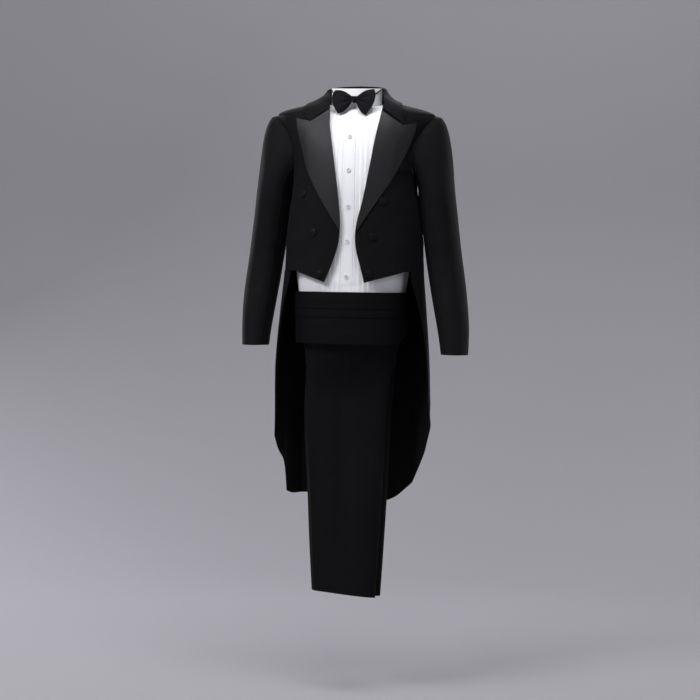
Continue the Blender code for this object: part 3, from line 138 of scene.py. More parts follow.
# The chest is smooth; the cloth drags at the armholes, breaks at the waist and swings in the
# tails. Each side has its own rows, so that no two folds are alike.
COAT_CREASES = crease_table(
    (-60, -0.098, -51, -0.205, -1.6, 15, 6), (-49, -0.120, -43, -0.232, 0.8, 13, 4),
    (-67, -0.236, -40, -0.292, 1.3, 10, -5), (-66, -0.262, -46, -0.330, -1.1, 9, 4),
    (-69, -0.392, -34, -0.366, 1.4, 12, 6), (-66, -0.432, -41, -0.404, -1.2, 10, -4),
    (-40, -0.448, -22, -0.402, 0.8, 8, 3), (58, -0.094, 50, -0.198, -1.5, 14, -5),
    (47, -0.128, 40, -0.224, 0.7, 14, 3), (68, -0.232, 44, -0.272, 1.2, 9, 6),
    (66, -0.268, 41, -0.352, -1.2, 11, -6), (70, -0.402, 37, -0.384, 1.5, 11, -5),
    (67, -0.440, 48, -0.412, -1.0, 9, 3), (44, -0.350, 24, -0.425, 0.8, 9, -3),
    (-74, -0.245, -104, -0.262, 1.3, 9, 5), (-78, -0.292, -112, -0.318, -1.4, 11, -5),
    (-72, -0.372, -126, -0.356, 1.3, 10, 6), (-80, -0.422, -138, -0.408, -1.2, 10, -4),
    (76, -0.252, 108, -0.270, 1.4, 10, -5), (74, -0.310, 110, -0.334, -1.3, 10, 6),
    (76, -0.385, 130, -0.366, 1.4, 11, -4), (84, -0.430, 140, -0.420, -1.1, 9, 4),
    (-118, -0.112, -134, -0.262, -2.0, 17, 10), (-130, -0.120, -146, -0.300, 1.3, 16, 6),
    (-112, -0.218, -140, -0.352, 1.5, 13, -8), (116, -0.108, 131, -0.248, -1.8, 16, -9),
    (129, -0.132, 148, -0.322, 1.4, 15, -6), (113, -0.226, 143, -0.336, 1.4, 12, 7),
    (158, -0.050, 204, -0.056, -1.0, 9, 6), (164, -0.088, 199, -0.080, 0.8, 10, -3),
    (150, -0.402, 186, -0.424, 1.3, 10, 6), (208, -0.378, 172, -0.396, -1.3, 11, -6),
    (196, -0.436, 214, -0.418, 1.0, 8, 3), (162, -0.330, 196, -0.342, 0.8, 13, 4),
    (-78, -0.470, -84, -0.830, 2.2, 17, 7), (-97, -0.468, -101, -0.960, -2.4, 19, -6),
    (-118, -0.474, -114, -0.900, 2.6, 20, 6), (-139, -0.480, -134, -1.010, -2.2, 18, -7),
    (-150, -0.476, -149, -0.840, 1.6, 14, 4), (76, -0.472, 80, -0.800, 2.0, 16, -6),
    (94, -0.470, 101, -0.930, -2.3, 18, 5), (116, -0.472, 121, -0.985, 2.7, 20, -6),
    (137, -0.478, 136, -0.860, -2.1, 17, 6), (152, -0.470, 158, -1.020, 1.7, 16, -4),
    (171, -0.520, 168, -0.880, 1.5, 15, 3), (187, -0.500, 191, -0.960, -1.4, 14, -4),
)

# An arm breaks inside the elbow, drags from its head and twists a little down to the cuff.
RIGHT_SLEEVE_CREASES = crease_table(
    (18, -0.118, 52, -0.236, -1.3, 12, 5), (-26, -0.122, -58, -0.252, 1.2, 12, -4),
    (88, -0.262, 152, -0.300, 1.5, 9, 4), (66, -0.342, 158, -0.366, -2.2, 9, 5),
    (54, -0.372, 150, -0.388, 2.0, 8, -4), (72, -0.404, 166, -0.410, -2.4, 9, 4),
    (62, -0.438, 140, -0.426, 1.7, 9, -3), (22, -0.362, 74, -0.402, 1.0, 10, 4),
    (-42, -0.352, -124, -0.372, -1.4, 11, -5), (-58, -0.404, -132, -0.392, 1.4, 10, 4),
    (128, -0.462, 34, -0.548, 1.4, 11, 6), (-112, -0.470, -46, -0.580, -1.2, 11, -5),
    (46, -0.560, 74, -0.646, -1.0, 9, 3), (-24, -0.540, -40, -0.636, 0.9, 10, -3),
    (168, -0.310, 204, -0.348, 1.2, 9, 3),
)
LEFT_SLEEVE_CREASES = crease_table(
    (22, -0.112, 46, -0.226, -1.2, 12, -4), (-18, -0.130, -50, -0.262, 1.3, 13, 5),
    (82, -0.270, 148, -0.286, 1.4, 8, -4), (70, -0.350, 160, -0.346, -2.0, 9, -4),
    (60, -0.384, 152, -0.372, 2.2, 9, 4), (50, -0.414, 162, -0.402, -2.3, 9, -5),
    (68, -0.446, 136, -0.450, 1.6, 8, 3), (14, -0.378, 66, -0.418, 1.1, 11, -4),
    (-48, -0.362, -118, -0.356, -1.5, 10, 4), (-62, -0.416, -136, -0.412, 1.5, 11, -4),
    (122, -0.480, 26, -0.570, 1.5, 12, -6), (-106, -0.486, -38, -0.588, -1.1, 10, 5),
    (40, -0.578, 66, -0.660, -0.9, 9, -3), (-30, -0.560, -36, -0.652, 1.0, 10, 3),
    (172, -0.322, 208, -0.330, 1.1, 8, -3), (178, -0.205, 178, -0.375, 2.2, 34, 0),
)

# The shirt pulls in at the sash and blouses a little above it.
SHIRT_CREASES = crease_table(
    (-34, -0.484, 4, -0.494, 1.5, 6, 3), (-8, -0.500, 30, -0.488, -1.3, 6, -3),
    (12, -0.476, 42, -0.470, 1.1, 7, 3), (-46, -0.468, -16, -0.462, -1.0, 7, 3),
    (-40, -0.500, -66, -0.470, 1.4, 7, -4), (44, -0.502, 70, -0.468, 1.4, 7, 4),
    (-22, -0.330, -30, -0.440, 0.7, 8, 3), (20, -0.360, 27, -0.452, -0.7, 8, -3),
    (-14, -0.120, -20, -0.210, 0.5, 9, 2), (15, -0.150, 21, -0.250, 0.5, 9, -2),
    (100, -0.470, 140, -0.486, 1.6, 8, 4), (150, -0.488, 196, -0.476, -1.5, 9, -4),
    (200, -0.470, 250, -0.488, 1.6, 8, 4), (128, -0.160, 140, -0.320, 1.2, 14, 6),
    (226, -0.170, 214, -0.330, 1.2, 13, -6),
)

# Down a pressed leg the turn is the place across it, in centimetres from its middle.
FRONT_LEG_CREASES = crease_table(
    (-3.4, -0.700, -2.2, -1.270, -1.9, 13, 6), (-6.2, -0.760, -6.6, -1.180, 1.2, 11, -4),
    (1.8, -0.720, 2.6, -1.240, 1.5, 17, -5), (5.6, -0.690, 5.2, -1.100, -1.1, 10, 4),
    (-0.4, -1.040, 0.4, -1.280, -0.9, 9, 2), (-5.4, -0.668, 2.8, -0.720, 1.6, 11, 6),
    (6.4, -0.664, 0.6, -0.742, -1.5, 11, -5), (-4.2, -0.930, 3.2, -0.972, 0.9, 12, 5),
    (4.6, -0.890, -1.8, -0.934, -0.8, 12, -4),
)
BACK_LEG_CREASES = crease_table(
    (-2.6, -0.700, -3.4, -1.250, 1.7, 14, -5), (3.0, -0.720, 3.8, -1.260, -1.8, 13, 5),
    (0.4, -0.780, 0.8, -1.120, 1.0, 10, -3), (-6.0, -0.740, -5.4, -1.060, -1.1, 11, 4),
    (-5.6, -0.672, 1.8, -0.728, 1.5, 11, 5), (6.0, -0.676, -0.8, -0.752, -1.5, 11, -4),
    (4.4, -0.926, -2.6, -0.968, 0.9, 12, -5),
)

SASH_CREASES = crease_table(
    (-66, -0.532, -24, -0.528, 0.9, 5, 2), (-34, -0.541, 22, -0.538, -0.7, 4, -2),
    (10, -0.529, 62, -0.533, 0.8, 5, 2), (-72, -0.592, -28, -0.598, 1.1, 6, -3),
    (-40, -0.610, 24, -0.604, -1.0, 6, 3), (18, -0.594, 74, -0.590, 1.1, 6, -2),
    (-10, -0.622, 48, -0.618, 0.9, 6, 2), (-88, -0.560, -62, -0.548, 0.9, 5, 2),
    (64, -0.552, 92, -0.562, 0.9, 5, -2),
)

# Folds of the bow fan out from its knot: the way they point in degrees above the level, their
# height and half width in mm at the knot.
BOW_FOLDS = (
    (27.0, 1.1, 1.6), (13.0, -1.1, 1.2), (0.0, 1.2, 1.5), (-17.0, -1.2, 1.3), (-33.0, 1.0, 1.5),
    (-48.0, -0.8, 1.2),
)


# ------------------------------------------------------------------ hand tools
def only(piece):
    """Leaves this piece as the one that is selected and worked on."""
    if bpy.context.object and bpy.context.object.mode != "OBJECT":
        bpy.ops.object.mode_set(mode="OBJECT")
    bpy.ops.object.select_all(action="DESELECT")
    piece.select_set(True)
    bpy.context.view_layer.objects.active = piece


def apply_modifiers(piece):
    """Bakes the piece's modifiers into its mesh, from the top down."""
    only(piece)
    for modifier in list(piece.modifiers):
        bpy.ops.object.modifier_apply(modifier=modifier.name)


def turned_edges(mesh, angle):
    """The edges where two faces meet at more than an angle in degrees, by their ends."""
    ways_of_edge = {}
    for face in mesh.polygons:
        for key in face.edge_keys:
            ways_of_edge.setdefault(key, []).append(face.normal)
    limit = math.cos(math.radians(angle))
    return {
        key for key, ways in ways_of_edge.items()
        if len(ways) == 2 and ways[0].dot(ways[1]) < limit
    }


def drawn_out(piece, sharp_angle, reach):
    """Moves a panel's cut edges out in the cloth's own plane, so that its seams close."""
    mesh = piece.data
    sharp = turned_edges(mesh, sharp_angle)
    out = {}
    for face in mesh.polygons:
        keys = [key for key in face.edge_keys if key in sharp]
        sides = [(mesh.vertices[a].co - mesh.vertices[b].co).length for a, b in face.edge_keys]
        if len(keys) < 2 or min(sides) > WALL_AT_MOST:
            continue
        for k in face.vertices:
            out[k] = out.get(k, Vector()) + face.normal
    for k, way in out.items():
        if way.length > 0.5:
            mesh.vertices[k].co += way.normalized() * reach


def rounded(piece, levels):
    """Rounds a piece's skin finely, and keeps its own points where they were."""
    wanted = points_of(piece)
    rounding = piece.modifiers.new("rounding", "SUBSURF")
    rounding.levels = levels
    rounding.render_levels = levels
    for _ in range(FITTING_ROUNDS):
        shaped = piece.evaluated_get(bpy.context.evaluated_depsgraph_get())
        missed = wanted - points_of(shaped)[:len(wanted)]
        move_points(piece, points_of(piece) + missed)
    apply_modifiers(piece)


def lifted(node, sharp_angle, levels, reach=0.0):
    """A copy of a panel's solid: welded, in quads, its rims held and its skin rounded."""
    piece = bpy.data.objects.new(f"{node}_cloth", frame["nodes"][node].data.copy())
    bpy.context.scene.collection.objects.link(piece)
    piece.data.materials.clear()
    only(piece)
    bpy.ops.mesh.customdata_custom_splitnormals_clear()
    bpy.ops.object.mode_set(mode="EDIT")
    bpy.ops.mesh.select_mode(type="EDGE")
    bpy.ops.mesh.select_all(action="SELECT")
    bpy.ops.mesh.remove_doubles(threshold=WELD)
    bpy.ops.mesh.mark_sharp(clear=True)
    bpy.ops.mesh.tris_convert_to_quads(
        face_threshold=math.radians(35), shape_threshold=math.radians(60)
    )
    bpy.ops.mesh.select_all(action="DESELECT")
    bpy.ops.mesh.edges_select_sharp(sharpness=math.radians(sharp_angle))
    bpy.ops.transform.edge_crease(value=1.0)
    bpy.ops.object.mode_set(mode="OBJECT")
    if reach:
        drawn_out(piece, sharp_angle, reach)
    rounded(piece, levels)
    return piece


def points_of(piece):
    co = np.empty(len(piece.data.vertices) * 3)
    piece.data.vertices.foreach_get("co", co)
    return co.reshape(-1, 3)


def normals_of(piece):
    out = np.empty(len(piece.data.vertices) * 3)
    piece.data.vertices.foreach_get("normal", out)
    return out.reshape(-1, 3)


def move_points(piece, points):
    piece.data.vertices.foreach_set("co", points.reshape(-1))
    piece.data.update()


def rim_closeness(piece, reach):
    """1 on the cloth's cut and turned edges, falling to 0 at the given reach."""
    mesh = piece.data
    ends = {k for key in turned_edges(mesh, RIM_ANGLE) for k in key}
    if not ends:
        return np.zeros(len(mesh.vertices))
    tree = KDTree(len(ends))
    for k in ends:
        tree.insert(mesh.vertices[k].co, k)
    tree.balance()
    gaps = np.array([tree.find(vertex.co)[2] for vertex in mesh.vertices])
    return np.clip(1 - gaps / reach, 0, 1) ** 2


def lay_weave(piece, across, along, rim_reach, fold):
    """Gives a piece its weave map and the rim and fold marks that the materials read for their
    painted light and shade.
    """
    mesh = piece.data
    for layer in list(mesh.uv_layers):
        mesh.uv_layers.remove(layer)
    layer = mesh.uv_layers.new(name="cloth")
    corner = np.empty(len(mesh.loops), np.int64)
    mesh.loops.foreach_get("vertex_index", corner)
    layer.data.foreach_set("uv", np.stack([across[corner], along[corner]], 1).reshape(-1))
    for name, values in (("rim", rim_closeness(piece, rim_reach)), ("fold", fold)):
        attribute = mesh.attributes.new(name, "FLOAT", "POINT")
        attribute.data.foreach_set("value", np.ascontiguousarray(values, np.float32))


def finish_cloth(piece, node, across, along, fold, material, slot):
    """Gives a cloth piece its weave, its material and its body, and hides the solid that it was
    lifted from.
    """
    lay_weave(piece, across, along, RIM_REACH, np.clip(fold / FULL_FOLD, -1, 1))
    only(piece)
    bpy.ops.object.shade_smooth_by_angle(angle=math.radians(42))
    dress(piece, material)
    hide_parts(node)
    return piece


def dress(piece, material):
    """Puts one material on a finished piece, and names its body."""
    piece.data.materials.clear()
    piece.data.materials.append(material)
    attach(piece, "root")


# ------------------------------------------------------------------ pressing folds into cloth
def folds_at(creases, across, z, scale, wrap):
    """How far each point of the cloth is moved out by the folds, in metres.

    Across is in metres; scale turns a crease's turn into metres; wrap is the way round.
    """
    out = np.zeros(len(z))
    for crease in creases:
        start = np.array([crease.turn * scale, crease.z])
        end = np.array([crease.to_turn * scale, crease.to_z])
        along = end - start
        length = float(np.hypot(*along))
        along /= length
        du = across - start[0]
        if wrap:
            middle = (start[0] + end[0]) / 2
            du = (across - middle + wrap / 2) % wrap - wrap / 2 + middle - start[0]
        dz = z - start[1]
        share = (du * along[0] + dz * along[1]) / length
        inside = np.clip(share, 0, 1)
        side = du * -along[1] + dz * along[0]
        side = side - crease.bow * MM * 4 * inside * (1 - inside)
        spread = (side / (crease.width * MM)) ** 2
        taper = np.sin(math.pi * inside) ** 1.2
        widen = np.where((share > 0) & (share < 1), 1.0, 0.0)
        out += crease.height * MM * widen * taper * (1 - 0.55 * spread) * np.exp(-0.8 * spread)
    return out


def settled(across, z, seed):
    """The small unevenness of cloth that hangs freely, up to about a third of a millimetre."""
    first = np.sin(across / 0.029 + 1.7 * np.sin(z / 0.061 + seed) + seed)
    second = np.sin(z / 0.047 - 1.3 * np.sin(across / 0.053 - seed) + 2.1 * seed)
    third = np.sin(across / 0.013 + z / 0.021 + 3.3 * seed)
    return (0.16 * first + 0.14 * second + 0.05 * third) * MM


def unbroken(turn, way):
    """The turns without a jump inside the piece, and the ways at length 1."""
    angle = np.radians(turn)
    middle = math.degrees(math.atan2(np.sin(angle).mean(), np.cos(angle).mean()))
    turn = (turn - middle + 180) % 360 - 180 + middle
    return turn, way / np.maximum(np.linalg.norm(way, axis=1), 1e-6)[:, None]


def round_body(points, lean):
    """Turn in degrees and the way out of each point round the upright body."""
    share = np.clip((LEAN_TOP_Z - points[:, 2]) / LEAN_HEIGHT, 0, 1)
    x = points[:, 0] - lean * share * share * (3 - 2 * share)
    way = np.stack([x, points[:, 1], np.zeros(len(x))], 1)
    return unbroken(np.degrees(np.arctan2(x, -points[:, 1])), way)


def round_arm(points, side):
    """The same round an arm, from its outer line towards the front."""
    z = np.minimum(points[:, 2], SLEEVE_HEAD_Z)
    down = ARM_TOP_Z - z
    middle = np.stack([
        ARM_TOP_X[side] + ARM_LEAN[side] * down, ARM_TOP_Y + ARM_SWING * np.maximum(down, 0), z,
    ], 1)
    way = points - middle
    sign = 1 if side == "L" else -1
    return unbroken(np.degrees(np.arctan2(-way[:, 1], way[:, 0] * sign)), way)


def press_round(piece, points, form, creases, radius, seed, strength):
    """Folds a piece that goes round a form, and gives its weave's two directions."""
    turn, way = form
    scale = math.radians(1) * radius
    across = turn * scale
    out = folds_at(creases, across, points[:, 2], scale, 360 * scale)
    out = strength * (out + settled(across, points[:, 2], seed))
    move_points(piece, points + way * out[:, None])
    return across, points[:, 2], out


def press_round_body(piece, creases, radius, lean, seed, strength):
    points = points_of(piece)
    return press_round(piece, points, round_body(points, lean), creases, radius, seed, strength)


def press_round_arm(piece, creases, side, strength):
    """The folds fade out on the sleeve's head, which stays full and smooth."""
    points = points_of(piece)
    head = np.clip((HEAD_TOP_Z - points[:, 2]) / HEAD_FADE, 0, 1)
    return press_round(
        piece, points, round_arm(points, side), creases, ARM_RADIUS, ARM_TOP_X[side] * 9,
        strength * head,
    )


def press_leg(piece, creases, side, strength):
    """Folds a pressed leg on its flat faces, and leaves its two sharp creases alone."""
    points = points_of(piece)
    _, way = round_body(points, WAIST_LEAN_X)
    depth = points[:, 1] - LEG_Y[side]
    face = np.tanh(depth / LEG_EDGE)
    below = np.clip((FORK_Z + FORK_BLEND / 2 - points[:, 2]) / FORK_BLEND, 0, 1)[:, None]
    flat_way = np.stack([np.zeros(len(face)), face, np.zeros(len(face))], 1)
    way = way * (1 - below) + flat_way * below
    across = points[:, 0] - WAIST_LEAN_X
    # The hidden face of a leg takes the same folds lower, as two layers pressed together do.
    shown = np.where((face < 0) == (side == "L"), 1.0, HIDDEN_FOLD_SHARE)
    out = folds_at(creases, across, points[:, 2], CENTIMETRE, 0)
    out = strength * (out * shown + settled(across, points[:, 2], 2.4 + LEG_Y[side] * 40))
    move_points(piece, points + way * out[:, None])
    return across * np.where(face < 0, 1, -1), points[:, 2], out


def press_bow(piece, sign, strength):
    """Folds that fan out from the knot over one wing of the bow."""
    points = points_of(piece)
    way = normals_of(piece)
    x = (points[:, 0] - KNOT.x) * sign
    z = points[:, 2] - KNOT.z
    reach = np.maximum(np.hypot(x, z), 1e-4)
    out = np.zeros(len(x))
    fade = np.clip((0.056 - reach) / 0.034, 0, 1) * np.clip((reach - 0.005) / 0.006, 0, 1)
    for angle, height, width in BOW_FOLDS:
        side = x * -math.sin(math.radians(angle)) + z * math.cos(math.radians(angle))
        spread = (side / (width * MM * (0.6 + reach / 0.030))) ** 2
        out += height * MM * np.exp(-spread)
    out *= fade * strength
    move_points(piece, points + way * out[:, None])
    return points[:, 0], points[:, 2], out


def press_knot(piece, strength):
    """Upright folds drawn into the bow's knot, deepest in front."""
    points = points_of(piece)
    way = normals_of(piece)
    waves = np.sin((points[:, 0] - KNOT.x) / KNOT_FOLD_PACE + 0.4)
    out = KNOT_FOLD_HEIGHT * waves * np.clip(-way[:, 1] + 0.2, 0, 1)
    out *= strength
    move_points(piece, points + way * out[:, None])
    return points[:, 0], points[:, 2], out


# ------------------------------------------------------------------ materials
def made_once(pool):
    """Hands out again what a maker has made before, by its first value or the maker's name."""

    def keep(make):
        @functools.wraps(make)
        def get(*values):
            name = values[0] if values else make.__name__
            return getattr(bpy.data, pool).get(name) or make(*values)

        return get

    return keep


def feed(tree, shader_node, *feeds):
    """Fills a node's inputs: (input, socket or value) pairs."""
    for key, value in feeds:
        if isinstance(value, bpy.types.NodeSocket):
            tree.links.new(value, shader_node.inputs[key])
        else:
            shader_node.inputs[key].default_value = value


def add(tree, kind, place, *feeds, **settings):
    """A shader node at a place of the tree's grid, with its settings and then its inputs."""
    shader_node = tree.nodes.new(kind)
    shader_node.location = (220 * place[0], -170 * place[1])
    for key, value in settings.items():
        setattr(shader_node, key, value)
    feed(tree, shader_node, *feeds)
    return shader_node


def number(tree, operation, place, *terms):
    """A Math node; each term is a socket or a number."""
    return add(tree, "ShaderNodeMath", place, *enumerate(terms), operation=operation).outputs[0]


def noise(tree, place, vector, scale, detail, *feeds):
    """A noise texture's own value."""
    texture = add(
        tree, "ShaderNodeTexNoise", place, ("Vector", vector), ("Scale", scale),
        ("Detail", detail), *feeds,
    )
    return texture.outputs["Fac"]


def between(tree, place, share, first, second):
    """A colour between two others, by a share."""
    mix = add(
        tree, "ShaderNodeMix", place, ("A", (*first, 1)), ("B", (*second, 1)),
        ("Factor", share), data_type="RGBA",
    )
    return mix.outputs["Result"]


def bumped(tree, place, height, strength, distance, *feeds):
    """A normal that is bent by a height, in metres."""
    bump = add(
        tree, "ShaderNodeBump", place, ("Height", height), ("Strength", strength),
        ("Distance", distance), *feeds,
    )
    return bump.outputs["Normal"]


def new_material(name):
    """A material, its tree, its surface shader and the place of each point on the object."""
    material = bpy.data.materials.new(name)
    material.use_nodes = True
    tree = material.node_tree
    place = add(tree, "ShaderNodeTexCoord", (-5, 0)).outputs["Object"]
    return material, tree, tree.nodes["Principled BSDF"], place


def new_group(name, inputs, *outputs):
    """An empty shader group of numbers: its inputs' defaults (None for a place), its outputs."""
    tree = bpy.data.node_groups.new(name, "ShaderNodeTree")
    for label, value in inputs.items():
        kind = "NodeSocketVector" if value is None else "NodeSocketFloat"
        socket = tree.interface.new_socket(label, in_out="INPUT", socket_type=kind)
        if value is not None:
            socket.default_value = value
    for label in outputs:
        tree.interface.new_socket(label, in_out="OUTPUT", socket_type="NodeSocketFloat")
    start = add(tree, "NodeGroupInput", (-4, 0)).outputs
    return tree, start, add(tree, "NodeGroupOutput", (6, 0))


@made_once("node_groups")
def thread_weave():
    """Threads over and under each other: Slant 0 is a plain weave, 1 a twill's diagonal."""
    tree, start, end = new_group(
        "thread_weave", {"Map": None, "Threads": 1200.0, "Float": 1.0, "Slant": 0.0},
        "Height", "Shade",
    )
    math_node = functools.partial(number, tree)
    parts = add(tree, "ShaderNodeSeparateXYZ", (-3, 0), (0, start["Map"])).outputs
    uneven = noise(tree, (-3, 2), start["Map"], 55.0, 2.0)
    sway = math_node("MULTIPLY", (-2, 2), uneven, 2.4)
    turns = math_node("MULTIPLY", (-3, 1), start["Threads"], math.pi)
    warp = math_node("MULTIPLY", (-2, 0), parts["X"], turns)
    warp = math_node("ADD", (-1, 0), warp, sway)
    weft = math_node("MULTIPLY", (-2, 1), parts["Y"], turns)
    weft = math_node("MULTIPLY", (-1, 1), weft, start["Float"])
    up, down = math_node("SINE", (0, 0), warp), math_node("SINE", (0, 1), weft)
    over = math_node("MULTIPLY", (1, 0), up, down)
    rib = math_node("SINE", (1, 1), math_node("ADD", (0, 2), warp, weft))
    plain_share = math_node("SUBTRACT", (1, 2), 1.0, start["Slant"])
    plain_part = math_node("MULTIPLY", (2, 0), over, plain_share)
    twill_part = math_node("MULTIPLY", (2, 1), rib, start["Slant"])
    both = math_node("ADD", (3, 0), plain_part, twill_part)
    height = math_node("MULTIPLY_ADD", (4, 0), both, 0.5, 0.5)
    shade = math_node("MULTIPLY", (5, 1), height, uneven)
    feed(tree, end, ("Height", height), ("Shade", shade))
    return tree


@made_once("node_groups")
def cloth_tone():
    """Slow changes of tone over a garment, and the short streaks of its yarn."""
    tree, start, end = new_group(
        "cloth_tone", {"Place": None, "Map": None, "Patch": 7.0, "Streak": 260.0},
        "Tone", "Yarn",
    )
    tone = noise(tree, (-2, 0), start["Place"], start["Patch"], 3.0, ("Roughness", 0.55))
    pull = add(
        tree, "ShaderNodeVectorMath", (-2, 2), (0, start["Map"]), (1, (1.0, 0.12, 1.0)),
        operation="MULTIPLY",
    )
    yarn = noise(tree, (-1, 2), pull.outputs[0], start["Streak"], 3.0, ("Roughness", 0.62))
    feed(tree, end, ("Tone", tone), ("Yarn", yarn))
    return tree


@made_once("node_groups")
def pressed_wear():
    """Painted light: a painted highlight along edges, painted light on the tops of folds and
    painted shade in their troughs; times the tone, the same mask also changes their roughness.
    """
    tree, start, end = new_group(
        "pressed_wear", {"Tone": 0.5, "Edge": 0.5, "Fold": 0.3}, "Wear", "Shine"
    )
    rim, fold = (
        add(tree, "ShaderNodeAttribute", (-3, row), attribute_name=name).outputs["Fac"]
        for row, name in enumerate(("rim", "fold"))
    )
    # Painted highlight on the rims, painted light on fold ridges and painted shade in fold troughs.
    edge = number(tree, "MULTIPLY", (-2, 0), rim, start["Edge"])
    top = number(tree, "MULTIPLY", (-2, 1), fold, start["Fold"])
    painted_light = number(tree, "ADD", (-1, 0), edge, top)
    shine = number(tree, "MULTIPLY", (0, 1), painted_light, start["Tone"])
    feed(tree, end, ("Wear", painted_light), ("Shine", shine))
    return tree


# A cloth's tone is mixed from its slow patches, its yarn and the shade between its threads.
TONE_SHARE = 0.55
YARN_SHARE = 0.30
WEAVE_SHARE = 0.30


class Finish(NamedTuple):
    """What makes one cloth differ from the next: its colour, its gloss and its threads."""

    colour: str             # which of the user's colours it takes
    dark: float             # the shares of that colour in its darkest and its lightest yarn
    light: float
    rough: tuple            # from the dull patches to the shiny ones
    threads: float          # threads for each metre
    float_share: float      # how short a thread is before it goes under: lower is a satin
    slant: float            # 0 is a plain weave, 1 a twill
    relief: float           # the height of the threads, in metres
    nap: float              # the height of the nap or slubs
    edge: float             # how much lighter an edge is painted: a painted highlight
    sheen: float
    sheen_rough: float
    sheen_colour: tuple
    specular: float


# The coat's twill is almost matt, the lapels' satin floats over the yarn below it, the bow's and
# the sash's silk is ribbed and duller, and a button's satin is drawn tight.
FINISHES = {
    "matt_wool": Finish(
        "wool_colour", 0.60, 1.45, (0.90, 0.66), 1500.0, 1.0, 1.0, 0.00008, 0.00025, 0.08,
        0.018, 0.45, (0.62, 0.60, 0.68), 0.09,
    ),
    "dark_silk": Finish(
        "satin_colour", 0.60, 1.10, (0.66, 0.50), 2200.0, 0.25, 0.0, 0.00004, 0.00006, 0.06,
        0.012, 0.30, (0.80, 0.78, 0.88), 0.05,
    ),
    "dark_satin": Finish(
        "satin_colour", 0.95, 1.60, (0.62, 0.50), 2600.0, 0.14, 0.0, 0.00002, 0.00006, 0.06,
        0.02, 0.30, (0.80, 0.78, 0.88), 0.34,
    ),
    "white_cotton": Finish(
        "shirt_colour", 0.955, 1.02, (0.86, 0.62), 1900.0, 1.0, 0.0, 0.00005, 0.00010, 0.10,
        0.10, 0.40, (0.95, 0.95, 1.0), 0.40,
    ),
    "button_satin": Finish(
        "satin_colour", 0.8, 1.4, (0.52, 0.40), 2400.0, 0.3, 0.5, 0.00003, 0.00008, 0.12,
        0.012, 0.3, (0.80, 0.78, 0.86), 0.08,
    ),
}


@made_once("materials")
def cloth(name):
    """A woven cloth: tone, yarn, weave, and painted light and shade on its edges and folds, on the
    piece's own weave map.
    """
    finish = FINISHES[name]
    colour = getattr(bpy.context.scene.suit_cloth, finish.colour)
    material, tree, shader, place = new_material(name)
    shader.location = (1500, 0)
    weave_map = add(tree, "ShaderNodeUVMap", (-4, 1), uv_map="cloth").outputs[0]
    tone = add(
        tree, "ShaderNodeGroup", (-2, 0), ("Place", place), ("Map", weave_map),
        node_tree=cloth_tone(),
    ).outputs
    weave = add(
        tree, "ShaderNodeGroup", (-2, 2), ("Map", weave_map), ("Threads", finish.threads),
        ("Float", finish.float_share), ("Slant", finish.slant), node_tree=thread_weave(),
    ).outputs
    painted_light = add(
        tree, "ShaderNodeGroup", (-1, 1), ("Edge", finish.edge), ("Tone", tone["Tone"]),
        node_tree=pressed_wear(),
    ).outputs
    mixed = number(tree, "MULTIPLY", (0, 0), tone["Tone"], TONE_SHARE)
    for row, (value, share) in enumerate(
        ((tone["Yarn"], YARN_SHARE), (weave["Shade"], WEAVE_SHARE)), start=1
    ):
        part = number(tree, "MULTIPLY", (row - 1, 1), value, share)
        mixed = number(tree, "ADD", (row, 0), mixed, part)
    # Painted light in the colour: a painted highlight on edges, painted light on fold ridges,
    # painted shade in fold troughs.
    mixed = number(tree, "ADD", (3, 0), mixed, painted_light["Wear"])
    dull, shiny = finish.rough
    rough = add(
        tree, "ShaderNodeMapRange", (5, 2), ("To Min", dull), ("To Max", shiny),
        ("Value", number(tree, "ADD", (4, 2), tone["Yarn"], painted_light["Shine"])),
    )
    nap = bumped(tree, (5, 4), tone["Yarn"], 1.0, finish.nap)
    threads = bumped(tree, (6, 4), weave["Height"], 1.0, finish.relief, ("Normal", nap))
    yarns = between(
        tree, (5, 0), mixed, lighter(colour, finish.dark), lighter(colour, finish.light)
    )
    feed(
        tree, shader, ("Base Color", yarns), ("Roughness", rough.outputs["Result"]),
        ("Normal", threads), ("Sheen Weight", finish.sheen),
        ("Sheen Roughness", finish.sheen_rough), ("Sheen Tint", (*finish.sheen_colour, 1)),
        ("Specular IOR Level", finish.specular),
    )
    return material


def lighter(colour, share):
    return tuple(min(1.0, channel * share) for channel in colour)


@made_once("materials")
def sewing_thread(name, colour):
    """Twisted thread: fine slanting strands on each stitch."""
    material, tree, shader, place = new_material(name)
    strands = add(
        tree, "ShaderNodeTexWave", (-3, 0), ("Vector", place), ("Scale", 900.0),
        ("Distortion", 1.5), wave_type="BANDS", bands_direction="DIAGONAL",
    ).outputs["Fac"]
    feed(
        tree, shader,
        ("Base Color", between(tree, (-1, 0), strands, lighter(colour, 0.7), colour)),
        ("Normal", bumped(tree, (-1, 2), strands, 0.6, 0.00005)),
        ("Roughness", number(tree, "MULTIPLY_ADD", (-1, 1), strands, -0.2, 0.7)),
    )
    return material


def white_thread():
    return sewing_thread("white_thread", (0.72, 0.72, 0.75))


@made_once("materials")
def pearl():
    """The shirt buttons' pearly face: pale clouds under a glossy skin."""
    material, tree, shader, place = new_material("pearl")
    cloud = noise(tree, (-4, 0), place, 240.0, 4.0, ("Distortion", 1.6))
    ramp = add(tree, "ShaderNodeValToRGB", (-3, 0), ("Fac", cloud))
    shades = ramp.color_ramp.elements
    shades[0].position = 0.30
    shades[0].color = (0.46, 0.47, 0.53, 1)
    shades[1].position = 0.68
    shades[1].color = (0.74, 0.72, 0.73, 1)
    shades.new(0.5).color = (0.62, 0.60, 0.66, 1)
    feed(
        tree, shader, ("Base Color", ramp.outputs["Color"]),
        ("Roughness", number(tree, "MULTIPLY_ADD", (-1, 1), cloud, 0.18, 0.14)),
        ("Normal", bumped(tree, (-1, 3), cloud, 0.3, 0.0001)),
        ("Coat Weight", 0.35), ("Coat Roughness", 0.08),
    )
    return material


